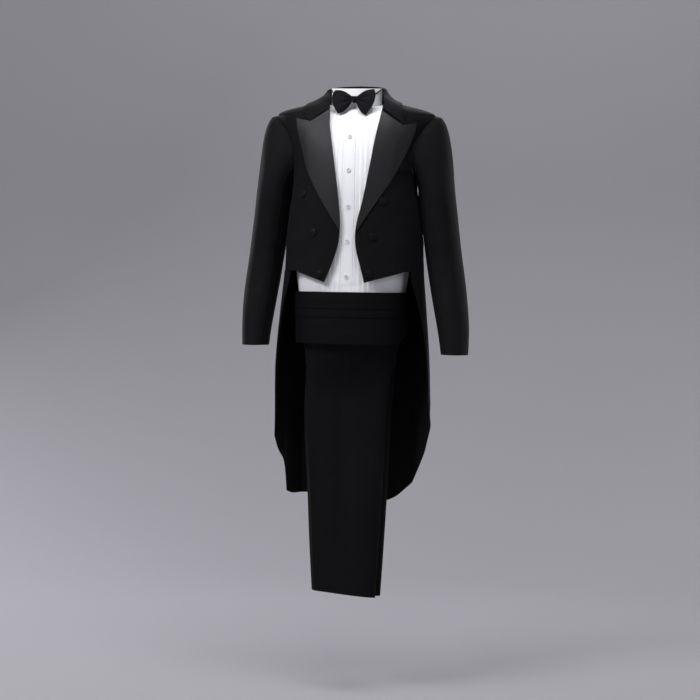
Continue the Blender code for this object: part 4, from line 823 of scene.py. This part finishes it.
def studio_paper():
    """The pale cove: seen from inside, and open to the camera where it stands behind it."""
    material, tree, shader, place = new_material("studio_paper")
    grain = noise(tree, (-4, 0), place, 0.9, 2.0)
    colour = bpy.context.scene.suit_studio.paper_colour
    paper = between(tree, (-2, 0), grain, lighter(colour, 0.96), lighter(colour, 1.03))
    feed(tree, shader, ("Base Color", paper), ("Roughness", 0.8))
    side = add(tree, "ShaderNodeNewGeometry", (0, -2)).outputs["Backfacing"]
    clear = add(tree, "ShaderNodeBsdfTransparent", (0, -1)).outputs[0]
    choose = add(
        tree, "ShaderNodeMixShader", (2, 0), ("Fac", side), (1, shader.outputs[0]), (2, clear)
    )
    feed(tree, tree.nodes["Material Output"], ("Surface", choose.outputs[0]))
    return material


# ------------------------------------------------------------------ buttons and stitches
# A button's thickness in metres, its rim's bevel in mm, and its rings from the rim inwards: the
# share of its radius that each goes in, and its rise in mm.
COVERED_BUTTON = (
    0.0028, 0.9, ((0.10, 0.10), (0.07, -0.35), (0.08, 0.10), (0.20, 0.75), (0.22, 0.40)),
)
PEARL_BUTTON = (0.0021, 0.4, ((0.16, 0.10), (0.10, -0.45), (0.10, -0.05)))
COVERED_GAP = 0.0004            # how far a button stands off its cloth
PEARL_GAP = 0.0002
HOLE_SHARE = 0.13               # a hole's width, and its way out of the middle
THREAD_LEVEL = 0.00175          # where a shirt button's threads lie, above its back
PLACKET_ROW_X = 0.0098          # where the rows of stitches run
COLLAR_ROW_UP = 0.0040
WELT_ROW_IN = 0.0022
STITCH_RISE = 0.00008           # how far a stitch's middle stands out of the cloth

def cloth_tree(*names):
    """A search tree over finished cloth pieces, for laying buttons and stitches on them."""
    points, faces = [], []
    for name in names:
        mesh = bpy.data.objects[name].data
        start = len(points)
        points += [vertex.co.copy() for vertex in mesh.vertices]
        faces += [[start + k for k in face.vertices] for face in mesh.polygons]
    return BVHTree.FromPolygons(points, faces)


def laid_on(tree, start, way):
    """The point and the outward normal where a line meets the cloth."""
    point, normal, _, _ = tree.ray_cast(Vector(start), Vector(way))
    if point is None:
        raise RuntimeError(f"no cloth in front of {tuple(start)}")
    if normal.dot(Vector(way)) > 0:
        normal = -normal
    return point, normal


def seat(normal, point, up=Vector((0, 0, 1))):
    """A place on the cloth: Z out of it, Y as near up as it can be."""
    z = normal.normalized()
    x = up.cross(z).normalized()
    return Matrix.Translation(point) @ Matrix((x, z.cross(x), z)).transposed().to_4x4()


def pick_faces(piece, rule):
    """Selects the faces that follow a rule, and leaves the piece in edit mode."""
    bpy.ops.object.mode_set(mode="OBJECT")
    for face in piece.data.polygons:
        face.select = rule(face)
    bpy.ops.object.mode_set(mode="EDIT")


def turned_button(name, width, thick, edge_bevel, rings):
    """A button from a disc: its rim bevelled, its face inset and raised ring by ring."""
    bpy.ops.object.select_all(action="DESELECT")
    bpy.ops.mesh.primitive_cylinder_add(
        vertices=28, radius=width / 2, depth=thick, end_fill_type="NGON",
        location=(0, 0, thick / 2),
    )
    piece = bpy.context.object
    piece.name = name
    only(piece)
    bpy.ops.object.transform_apply(location=True, rotation=True, scale=True)
    bpy.ops.object.mode_set(mode="EDIT")
    bpy.ops.mesh.select_mode(type="FACE")
    pick_faces(piece, lambda face: face.normal.z > 0.7 and face.center.z > thick * 0.6)
    for inset, rise in rings:
        bpy.ops.mesh.inset(thickness=inset * width / 2)
        bpy.ops.transform.translate(value=(0, 0, rise * MM))
    bpy.ops.object.mode_set(mode="OBJECT")
    bevel = piece.modifiers.new("edge", "BEVEL")
    bevel.width = edge_bevel * MM
    bevel.segments = 2
    bevel.limit_method = "ANGLE"
    bevel.angle_limit = math.radians(50)
    rounding = piece.modifiers.new("rounding", "SUBSURF")
    rounding.levels = 1
    rounding.render_levels = 1
    apply_modifiers(piece)
    bpy.ops.object.shade_smooth_by_angle(angle=math.radians(60))
    return piece


def pierced(piece, holes, depth):
    """Cuts round holes down through a button's face: (x, y, width) each, in metres."""
    for x, y, width in holes:
        bpy.ops.object.select_all(action="DESELECT")
        bpy.ops.mesh.primitive_cylinder_add(
            vertices=10, radius=width / 2, depth=depth, location=(x, y, 0)
        )
        drill = bpy.context.object
        only(piece)
        cut = piece.modifiers.new("hole", "BOOLEAN")
        cut.operation = "DIFFERENCE"
        cut.solver = "EXACT"
        cut.object = drill
        bpy.ops.object.modifier_apply(modifier=cut.name)
        bpy.data.objects.remove(drill, do_unlink=True)


def sewn_copy(pattern, name, place):
    """A copy of a finished pattern piece, moved in its own mesh to where it is sewn."""
    copy = bpy.data.objects.new(name, pattern.data.copy())
    copy.data.transform(place)
    bpy.context.scene.collection.objects.link(copy)
    return copy


def stitch_pattern(length, thick):
    """One stitch: a short thread whose ends dip into the cloth."""
    bpy.ops.object.select_all(action="DESELECT")
    bpy.ops.mesh.primitive_cylinder_add(
        vertices=6, radius=thick / 2, depth=length * 0.72, rotation=(0, math.pi / 2, 0)
    )
    piece = bpy.context.object
    only(piece)
    bpy.ops.object.transform_apply(location=True, rotation=True, scale=True)
    bpy.ops.object.mode_set(mode="EDIT")
    bpy.ops.mesh.select_mode(type="FACE")
    for sign in (-1, 1):
        pick_faces(piece, lambda face: face.normal.x * sign > 0.9)
        bpy.ops.mesh.extrude_region_move(
            TRANSFORM_OT_translate={"value": (sign * length * 0.14, 0, -thick * 0.45)}
        )
        bpy.ops.transform.resize(value=(1, 0.55, 0.55))
    bpy.ops.object.mode_set(mode="OBJECT")
    return piece


def stitched(name, pattern, spots, pitch, material):
    """Rows of stitches as one piece: each row is a list of (point, normal) on the cloth."""
    part = points_of(pattern)
    faces = [list(face.vertices) for face in pattern.data.polygons]
    all_points, all_faces, count = [], [], 0
    for row in spots:
        line = np.array([point for point, _ in row])
        outs = np.array([normal for _, normal in row])
        steps = np.linalg.norm(np.diff(line, axis=0), axis=1)
        run = np.concatenate([[0], np.cumsum(steps)])
        for middle in np.arange(pitch / 2, run[-1] - pitch / 2, pitch):
            k = min(int(np.searchsorted(run, middle)) - 1, len(row) - 2)
            share = (middle - run[k]) / max(steps[k], 1e-9)
            spot = line[k] * (1 - share) + line[k + 1] * share
            out = outs[k] * (1 - share) + outs[k + 1] * share
            out /= np.linalg.norm(out)
            along = line[k + 1] - line[k]
            along -= out * along.dot(out)
            along /= np.linalg.norm(along)
            side = np.cross(out, along)
            moved = part @ np.stack([along, side, out]) + spot + out * STITCH_RISE
            all_points.append(moved)
            all_faces += [[count + v for v in face] for face in faces]
            count += len(part)
    mesh = bpy.data.meshes.new(name)
    mesh.from_pydata(np.concatenate(all_points).tolist(), [], all_faces)
    piece = bpy.data.objects.new(name, mesh)
    bpy.context.scene.collection.objects.link(piece)
    only(piece)
    bpy.ops.object.shade_smooth_by_angle(angle=math.radians(50))
    dress(piece, material)
    return piece


def middle_of(node):
    low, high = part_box(node)
    return (low + high) / 2


# ------------------------------------------------------------------ what a user may change
def colour_choice(name, text, value):
    """A colour that a user may change."""
    return bpy.props.FloatVectorProperty(
        name=name, description=text, subtype="COLOR", size=3, min=0.0, max=1.0, default=value
    )


def amount(name, text, low, high, value, **kind):
    """A number that a user may change between two ends."""
    return bpy.props.FloatProperty(
        name=name, description=text, min=low, max=high, default=value, **kind
    )


LENGTH = {"subtype": "DISTANCE", "unit": "LENGTH"}
POWER = {"unit": "POWER"}


class SuitCloth(bpy.types.PropertyGroup):
    """Colours of the cloths and the depth of their folds."""

    wool_colour: colour_choice(
        "Wool", "Colour of the coat's and trousers' cloth", (0.0042, 0.0041, 0.0049)
    )
    satin_colour: colour_choice(
        "Satin", "Colour of the lapels, bow, sash and covered buttons", (0.0052, 0.0050, 0.0064)
    )
    shirt_colour: colour_choice("Shirt", "Colour of the shirt's cotton", (0.720, 0.716, 0.752))
    fold_strength: amount(
        "Folds", "Share of the folds' full height", 0.0, 1.5, 1.0, subtype="FACTOR"
    )
    rounding: bpy.props.IntProperty(
        name="Rounding", description="How finely the cloth's skin is divided",
        min=1, max=3, default=2,
    )


class SuitSewing(bpy.types.PropertyGroup):
    """Sizes of the buttons and stitches."""

    coat_button: amount(
        "Coat button", "Width of a covered coat button", 0.012, 0.028, 0.0205, **LENGTH
    )
    shirt_button: amount("Shirt button", "Width of a shirt button", 0.008, 0.014, 0.0103, **LENGTH)
    stitch: amount("Stitch", "Length of a stitch with its gap", 0.0015, 0.006, 0.0030, **LENGTH)
    thread: amount("Thread", "Thickness of the sewing thread", 0.0002, 0.001, 0.00042, **LENGTH)


class SuitStudio(bpy.types.PropertyGroup):
    """The studio round the suit."""

    floor_height: amount(
        "Floor", "Height of the floor below the neck", -2.0, -1.32, -1.56, **LENGTH
    )
    paper_colour: colour_choice("Paper", "Colour of the pale cove", (0.262, 0.260, 0.277))
    key_power: amount(
        "Key", "Power of the large light on the camera's left", 0.0, 2000.0, 180.0, **POWER
    )
    fill_power: amount("Fill", "Power of the weaker light on its right", 0.0, 2000.0, 30.0, **POWER)


# ------------------------------------------------------------------ the pieces
class Stuff(NamedTuple):
    """A cloth to cut from: its finish, its slot in the record, and what counts as a sharp edge."""

    finish: str
    slot: str
    sharp: float = 38       # degrees


WOOL = Stuff("matt_wool", "black_wool")
SATIN = Stuff("dark_satin", "black_satin")
PLEATED_SILK = Stuff("dark_silk", "black_satin", 24)
PLEATED_COTTON = Stuff("white_cotton", "white_cotton", 24)


def fold_strength():
    """The user's share of the folds' full height."""
    return bpy.context.scene.suit_cloth.fold_strength


def pressed_coat(piece):
    return press_round_body(piece, COAT_CREASES, BODY_RADIUS, 0.0, 1.0, fold_strength())


def pressed_shirt(piece):
    return press_round_body(
        piece, SHIRT_CREASES, SHIRT_RADIUS, WAIST_LEAN_X, 4.0, fold_strength()
    )


def pressed_sash(piece):
    return press_round_body(
        piece, SASH_CREASES, SHIRT_RADIUS, WAIST_LEAN_X, 6.0, fold_strength()
    )


def cut_out(node, stuff, press, reach=0.0):
    """Lifts a piece off its solid, presses its folds in and dresses it."""
    piece = lifted(node, stuff.sharp, bpy.context.scene.suit_cloth.rounding, reach)
    return finish_cloth(piece, node, *press(piece), cloth(stuff.finish), stuff.slot)


class SUIT_OT_coat_body(bpy.types.Operator):
    """Dresses the coat's fronts, sides, backs and skirts in creased wool"""

    bl_idname = "suit.coat_body"
    bl_label = "Coat body"

    def execute(self, context):
        for side in "RL":
            for stem, flat, area in (
                ("coat_front", (0.26, 0.48), 0.074), ("coat_side", (0.20, 0.27), 0.038),
                ("coat_back", (0.24, 1.07), 0.149), ("coat_skirt", (0.26, 0.60), 0.102),
            ):
                piece = cut_out(f"{stem}_{side}", WOOL, pressed_coat, SEAM_REACH)
        return {"FINISHED"}


class SUIT_OT_sleeves(bpy.types.Operator):
    """Dresses the coat's two-piece sleeves, broken at the elbows"""

    bl_idname = "suit.sleeves"
    bl_label = "Sleeves"

    def execute(self, context):
        for side, rows in (("R", RIGHT_SLEEVE_CREASES), ("L", LEFT_SLEEVE_CREASES)):
            press = functools.partial(
                press_round_arm, creases=rows, side=side, strength=fold_strength()
            )
            for stem, flat, area in (
                ("coat_sleeve_top", (0.30, 0.64), 0.142),
                ("coat_sleeve_under", (0.11, 0.43), 0.035),
            ):
                piece = cut_out(f"{stem}_{side}", WOOL, press, SEAM_REACH)
        return {"FINISHED"}


class SUIT_OT_lapels(bpy.types.Operator):
    """Dresses the satin lapels, the collar with its stand and the breast welt"""

    bl_idname = "suit.lapels"
    bl_label = "Lapels and collar"

    def execute(self, context):
        for node, stuff, flat, area, under in (
            ("coat_lapel_R", SATIN, (0.11, 0.33), 0.021, "coat_front_R_cloth"),
            ("coat_lapel_L", SATIN, (0.11, 0.33), 0.021, "coat_front_L_cloth"),
            ("coat_collar", WOOL, (0.56, 0.10), 0.030, "coat_back_L_cloth"),
            ("coat_collar_stand", WOOL, (0.40, 0.030), 0.008, "coat_back_L_cloth"),
            ("coat_breast_welt", WOOL, (0.050, 0.022), 0.0010, "coat_front_L_cloth"),
        ):
            piece = cut_out(node, stuff, pressed_coat)
        return {"FINISHED"}


class SUIT_OT_shirt(bpy.types.Operator):
    """Dresses the pleated shirt, its placket and its standing collar in white cotton"""

    bl_idname = "suit.shirt"
    bl_label = "Shirt"

    def execute(self, context):
        for node, flat, area in (
            ("shirt_back", (0.46, 0.56), 0.21), ("shirt_front_R", (0.28, 0.55), 0.105),
            ("shirt_front_L", (0.28, 0.55), 0.105), ("shirt_placket", (0.035, 0.51), 0.016),
            ("shirt_collar", (0.40, 0.045), 0.0155),
        ):
            piece = cut_out(node, PLEATED_COTTON, pressed_shirt)
        return {"FINISHED"}


class SUIT_OT_bow(bpy.types.Operator):
    """Dresses the silk bow: wings that fold into the knot, and the band round the collar"""

    bl_idname = "suit.bow"
    bl_label = "Bow"

    def execute(self, context):
        silk = cloth("dark_silk")
        for side, sign in (("R", -1), ("L", 1)):
            node = f"bow_wing_{side}"
            piece = lifted(node, BOW_SHARP, BOW_ROUNDING)
            marks = press_bow(piece, sign, fold_strength())
            finish_cloth(piece, node, *marks, silk, "black_satin")
        knot = lifted("bow_knot", BOW_SHARP, BOW_ROUNDING)
        finish_cloth(knot, "bow_knot", *press_knot(knot, fold_strength()), silk, "black_satin")
        band = cut_out("bow_band", Stuff("dark_silk", "black_satin"), lambda piece: (
            press_round_body(piece, (), BAND_RADIUS, 0.0, 0.5, 0.3)))
        return {"FINISHED"}


class SUIT_OT_sash(bpy.types.Operator):
    """Dresses the pleated silk sash and the strap behind it"""

    bl_idname = "suit.sash"
    bl_label = "Sash"

    def execute(self, context):
        for node, flat, area in (
            ("sash_front", (0.64, 0.13), 0.068), ("sash_strap", (0.32, 0.05), 0.015),
        ):
            piece = cut_out(node, PLEATED_SILK, pressed_sash)
        return {"FINISHED"}


class SUIT_OT_trousers(bpy.types.Operator):
    """Dresses the pressed trousers and their waistband in wool"""

    bl_idname = "suit.trousers"
    bl_label = "Trousers"

    def execute(self, context):
        for side, rows in (("R", BACK_LEG_CREASES), ("L", FRONT_LEG_CREASES)):
            press = functools.partial(
                press_leg, creases=rows, side=side, strength=fold_strength()
            )
            for stem in ("trouser_front", "trouser_back"):
                piece = cut_out(f"{stem}_{side}", WOOL, press, SEAM_REACH)
        piece = cut_out("trouser_waistband", WOOL, lambda piece: (
            press_round_body(piece, (), SHIRT_RADIUS, WAIST_LEAN_X, 3.0, 0.5)))
        return {"FINISHED"}


class SUIT_OT_coat_buttons(bpy.types.Operator):
    """Sews eight satin-covered buttons on the coat"""

    bl_idname = "suit.coat_buttons"
    bl_label = "Coat buttons"

    def execute(self, context):
        sewing = context.scene.suit_sewing
        pattern = turned_button("covered_button_pattern", sewing.coat_button, *COVERED_BUTTON)
        fronts, backs = (
            cloth_tree(*(f"coat_{part}_{side}_cloth" for part in parts for side in "RL"))
            for parts in (("front", "lapel"), ("back", "side", "skirt"))
        )
        for end in ("R1", "R2", "R3", "L1", "L2", "L3", "back_R", "back_L"):
            node = f"coat_button_{end}"
            place = middle_of(node)
            cloths, way = (backs, -1) if "back" in end else (fronts, 1)
            point, normal = laid_on(cloths, (place.x, -way, place.z), (0, way, 0))
            where = seat(normal, point + normal * COVERED_GAP)
            button = sewn_copy(pattern, f"{node}_covered", where)
            face = points_of(button) - np.array(point)
            # The rim mark gives the button's satin a painted highlight round its edges.
            lay_weave(button, face[:, 0], face[:, 2], BUTTON_RIM_REACH, np.zeros(len(face)))
            dress(button, cloth("button_satin"))
            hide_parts(node)
        bpy.data.objects.remove(pattern, do_unlink=True)
        return {"FINISHED"}


class SUIT_OT_shirt_buttons(bpy.types.Operator):
    """Sews five pearly four-hole buttons on the shirt's placket, each with its threads"""

    bl_idname = "suit.shirt_buttons"
    bl_label = "Shirt buttons"

    def execute(self, context):
        sewing = context.scene.suit_sewing
        width = sewing.shirt_button
        pattern = turned_button("pearl_button_pattern", width, *PEARL_BUTTON)
        gap = width * HOLE_SHARE
        pierced(pattern, [(x * gap, y * gap, gap) for x in (-1, 1) for y in (-1, 1)], 0.02)
        thread = stitch_pattern(gap * 3.0, sewing.thread * 0.9)
        placket = cloth_tree("shirt_placket_cloth")
        for k in range(1, 6):
            node = f"shirt_stud_{k}"
            place = middle_of(node)
            point, normal = laid_on(placket, (place.x, -1.0, place.z), (0, 1, 0))
            where = seat(normal, point + normal * PEARL_GAP)
            button = sewn_copy(pattern, f"{node}_pearl", where)
            dress(button, pearl())
            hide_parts(node)
            rows = [
                [(where @ Vector((side * gap, end * gap * 1.6, THREAD_LEVEL)), normal)
                 for end in (-1, 1)]
                for side in (-1, 1)
            ]
            stitched(
                f"{node}_threads", thread, rows, gap * 3.1, white_thread()
            )
        for pattern_piece in (pattern, thread):
            bpy.data.objects.remove(pattern_piece, do_unlink=True)
        return {"FINISHED"}


class SUIT_OT_stitches(bpy.types.Operator):
    """Sews the visible stitches on the placket, the collar and the breast welt"""

    bl_idname = "suit.stitches"
    bl_label = "Stitches"

    def execute(self, context):
        sewing = context.scene.suit_sewing
        stitch = stitch_pattern(sewing.stitch * 0.8, sewing.thread)
        white = white_thread()
        black = sewing_thread("black_thread", (0.030, 0.030, 0.034))
        for name, rows, pitch, thread, slot in (
            ("placket", self.placket_rows(), 1.0, white, "white_cotton"),
            ("collar", self.collar_rows(), 1.0, white, "white_cotton"),
            ("welt", self.welt_rows(), 0.75, black, "black_wool"),
        ):
            stitched(f"{name}_stitches", stitch, rows, sewing.stitch * pitch, thread)
        bpy.data.objects.remove(stitch, do_unlink=True)
        return {"FINISHED"}

    def placket_rows(self):
        """One row beside each edge of the placket, down its whole length."""
        placket = cloth_tree("shirt_placket_cloth")
        low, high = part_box("shirt_placket")
        rows = []
        for side in (-1, 1):
            row = []
            for z in np.linspace(high.z - 0.006, low.z + 0.006, 90):
                lean = WAIST_LEAN_X * min(1.0, max(0.0, (LEAN_TOP_Z - z) / LEAN_HEIGHT))
                x = side * PLACKET_ROW_X + lean
                row.append(laid_on(placket, (x, -1.0, z), (0, 1, 0)))
            rows.append(row)
        return rows

    def collar_rows(self):
        """One row round the collar, a little above its lower edge wherever that runs."""
        collar = cloth_tree("shirt_collar_cloth")
        low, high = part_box("shirt_collar")
        row = []
        for turn in np.linspace(4, 356, 150):
            way = Vector((math.sin(math.radians(turn)), -math.cos(math.radians(turn)), 0))
            for z in np.arange(low.z, high.z, 0.0008):
                start = Vector((0, 0, z)) + way * 0.3
                if collar.ray_cast(start, -way)[0] is not None:
                    break
            row.append(laid_on(collar, start + Vector((0, 0, COLLAR_ROW_UP)), -way))
        return [row]

    def welt_rows(self):
        """One row down each end of the breast welt."""
        welt = cloth_tree("coat_breast_welt_cloth")
        low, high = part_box("coat_breast_welt")
        rows = []
        for x in (low.x + WELT_ROW_IN, high.x - WELT_ROW_IN):
            row = []
            for z in np.linspace(low.z, high.z, 60):
                point, normal, _, _ = welt.ray_cast(Vector((x, -1.0, z)), Vector((0, 1, 0)))
                if point is not None:
                    row.append((point, normal))
            rows.append(row[2:-2])
        return rows


# ------------------------------------------------------------------ the studio
class Lamp(NamedTuple):
    """A softbox: where it hangs, its width and height, its power, its tint."""

    name: str
    place: tuple
    size: tuple
    power: float
    tint: tuple


COVE_RADIUS = 3.4
COVE_HEIGHT = 5.2
COVE_CURVE = 1.5
CAMERA_TURN = 8.0               # degrees round to the wearer's left
CAMERA_FAR = 5.0
CAMERA_Z = -0.48
CAMERA_ROLL = 0.9
AIM = Vector((0.0, 0.0, -0.55))


class SUIT_OT_studio(bpy.types.Operator):
    """Sets up the pale cove, the soft lights and the camera"""

    bl_idname = "suit.studio"
    bl_label = "Studio"

    def execute(self, context):
        studio = context.scene.suit_studio
        self.cove(studio)
        self.lights(context, studio)
        self.camera(context)
        return {"FINISHED"}

    def cove(self, studio):
        """A round floor that curves up into a wall all round."""
        bpy.ops.object.select_all(action="DESELECT")
        bpy.ops.mesh.primitive_circle_add(
            vertices=96, radius=COVE_RADIUS, fill_type="NGON",
            location=(0, 0, studio.floor_height),
        )
        piece = bpy.context.object
        piece.name = "studio_cove"
        only(piece)
        bpy.ops.object.transform_apply(location=True, rotation=True, scale=True)
        bpy.ops.object.mode_set(mode="EDIT")
        bpy.ops.mesh.select_mode(type="EDGE")
        bpy.ops.mesh.select_all(action="SELECT")
        bpy.ops.mesh.extrude_edges_move(TRANSFORM_OT_translate={"value": (0, 0, COVE_HEIGHT)})
        bpy.ops.object.mode_set(mode="OBJECT")
        curve = piece.modifiers.new("curve", "BEVEL")
        curve.width = COVE_CURVE
        curve.segments = 14
        curve.limit_method = "ANGLE"
        curve.angle_limit = math.radians(60)
        apply_modifiers(piece)
        bpy.ops.object.mode_set(mode="EDIT")
        bpy.ops.mesh.select_all(action="SELECT")
        bpy.ops.mesh.normals_make_consistent(inside=False)
        bpy.ops.object.mode_set(mode="OBJECT")
        floor = max(piece.data.polygons, key=lambda face: face.area)
        if floor.normal.z < 0:
            piece.data.flip_normals()
        bpy.ops.object.shade_smooth_by_angle(angle=math.radians(40))
        piece.data.materials.append(studio_paper())

    def lights(self, context, studio):
        world = bpy.data.worlds.new("studio_air")
        context.scene.world = world
        world.use_nodes = True
        air = world.node_tree.nodes["Background"]
        air.inputs["Color"].default_value = (0.90, 0.90, 0.94, 1)
        air.inputs["Strength"].default_value = 0.14
        lamps = (
            Lamp("key_light", (-2.2, -2.6, 1.15), (1.5, 2.1), studio.key_power, (1, 0.98, 1)),
            Lamp("fill_light", (2.5, -2.4, 0.2), (1.6, 2.0), studio.fill_power, (0.97, 0.97, 1)),
            Lamp("left_edge_light", (-2.2, 1.7, 0.4), (0.7, 2.0), 48.0, (0.96, 0.94, 1)),
            Lamp("right_edge_light", (2.3, 1.6, 0.3), (0.7, 2.0), 30.0, (0.96, 0.94, 1)),
            Lamp("back_light", (0.2, 2.7, 1.9), (2.2, 1.3), 56.0, (0.97, 0.97, 1)),
            Lamp("top_light", (0.1, -1.1, 2.0), (1.6, 1.2), 52.0, (1, 1, 1)),
        )
        for lamp in lamps:
            light = bpy.data.lights.new(lamp.name, "AREA")
            light.shape = "RECTANGLE"
            light.size, light.size_y = lamp.size
            light.energy = lamp.power
            light.color = lamp.tint
            holder = bpy.data.objects.new(lamp.name, light)
            holder.location = lamp.place
            way = AIM - Vector(lamp.place)
            holder.rotation_euler = way.to_track_quat("-Z", "Y").to_euler()
            context.scene.collection.objects.link(holder)
        context.scene.view_settings.view_transform = "Standard"

    def camera(self, context):
        lens = bpy.data.cameras.new("photo_camera")
        lens.sensor_width = 36.0
        lens.lens = 98.9
        lens.shift_x = -0.0059
        lens.shift_y = -0.1005
        lens.clip_end = 60.0
        holder = bpy.data.objects.new("photo_camera", lens)
        turn = math.radians(CAMERA_TURN)
        holder.location = (CAMERA_FAR * math.sin(turn), -CAMERA_FAR * math.cos(turn), CAMERA_Z)
        level = Matrix.Rotation(turn, 3, "Z") @ Matrix.Rotation(math.pi / 2, 3, "X")
        roll = Matrix.Rotation(math.radians(CAMERA_ROLL), 3, "Z")
        holder.rotation_euler = (level @ roll).to_euler()
        context.scene.collection.objects.link(holder)
        context.scene.camera = holder


# ------------------------------------------------------------------ the sidebar and the run
# In the order in which they run: what lies below is dressed first, and sewing comes last.
OPERATORS = (
    SUIT_OT_trousers, SUIT_OT_shirt, SUIT_OT_sash, SUIT_OT_coat_body, SUIT_OT_sleeves,
    SUIT_OT_lapels, SUIT_OT_bow, SUIT_OT_coat_buttons, SUIT_OT_shirt_buttons,
    SUIT_OT_stitches, SUIT_OT_studio,
)


class SUIT_PT_sidebar(bpy.types.Panel):
    """The suit's settings and the steps that make it"""

    bl_idname = "SUIT_PT_sidebar"
    bl_label = "Evening suit"
    bl_space_type = "VIEW_3D"
    bl_region_type = "UI"
    bl_category = "Suit"

    def draw(self, context):
        for name in SETTINGS:
            group = getattr(context.scene, name)
            box = self.layout.box()
            for key in group.bl_rna.properties.keys():
                if key not in ("rna_type", "name"):
                    box.prop(group, key)
        for operator in OPERATORS:
            self.layout.operator(operator.bl_idname)


SETTINGS = {"suit_cloth": SuitCloth, "suit_sewing": SuitSewing, "suit_studio": SuitStudio}
CLASSES = (*SETTINGS.values(), *OPERATORS, SUIT_PT_sidebar)


def register():
    for each in CLASSES:
        bpy.utils.register_class(each)
    for name, group in SETTINGS.items():
        setattr(bpy.types.Scene, name, bpy.props.PointerProperty(type=group))


def unregister():
    for name in SETTINGS:
        delattr(bpy.types.Scene, name)
    for each in reversed(CLASSES):
        bpy.utils.unregister_class(each)


def main():
    """Makes the whole suit in order."""
    register()
    for operator in OPERATORS:
        getattr(bpy.ops.suit, operator.bl_idname.removeprefix("suit."))()


if __name__ == "__main__":
    main()
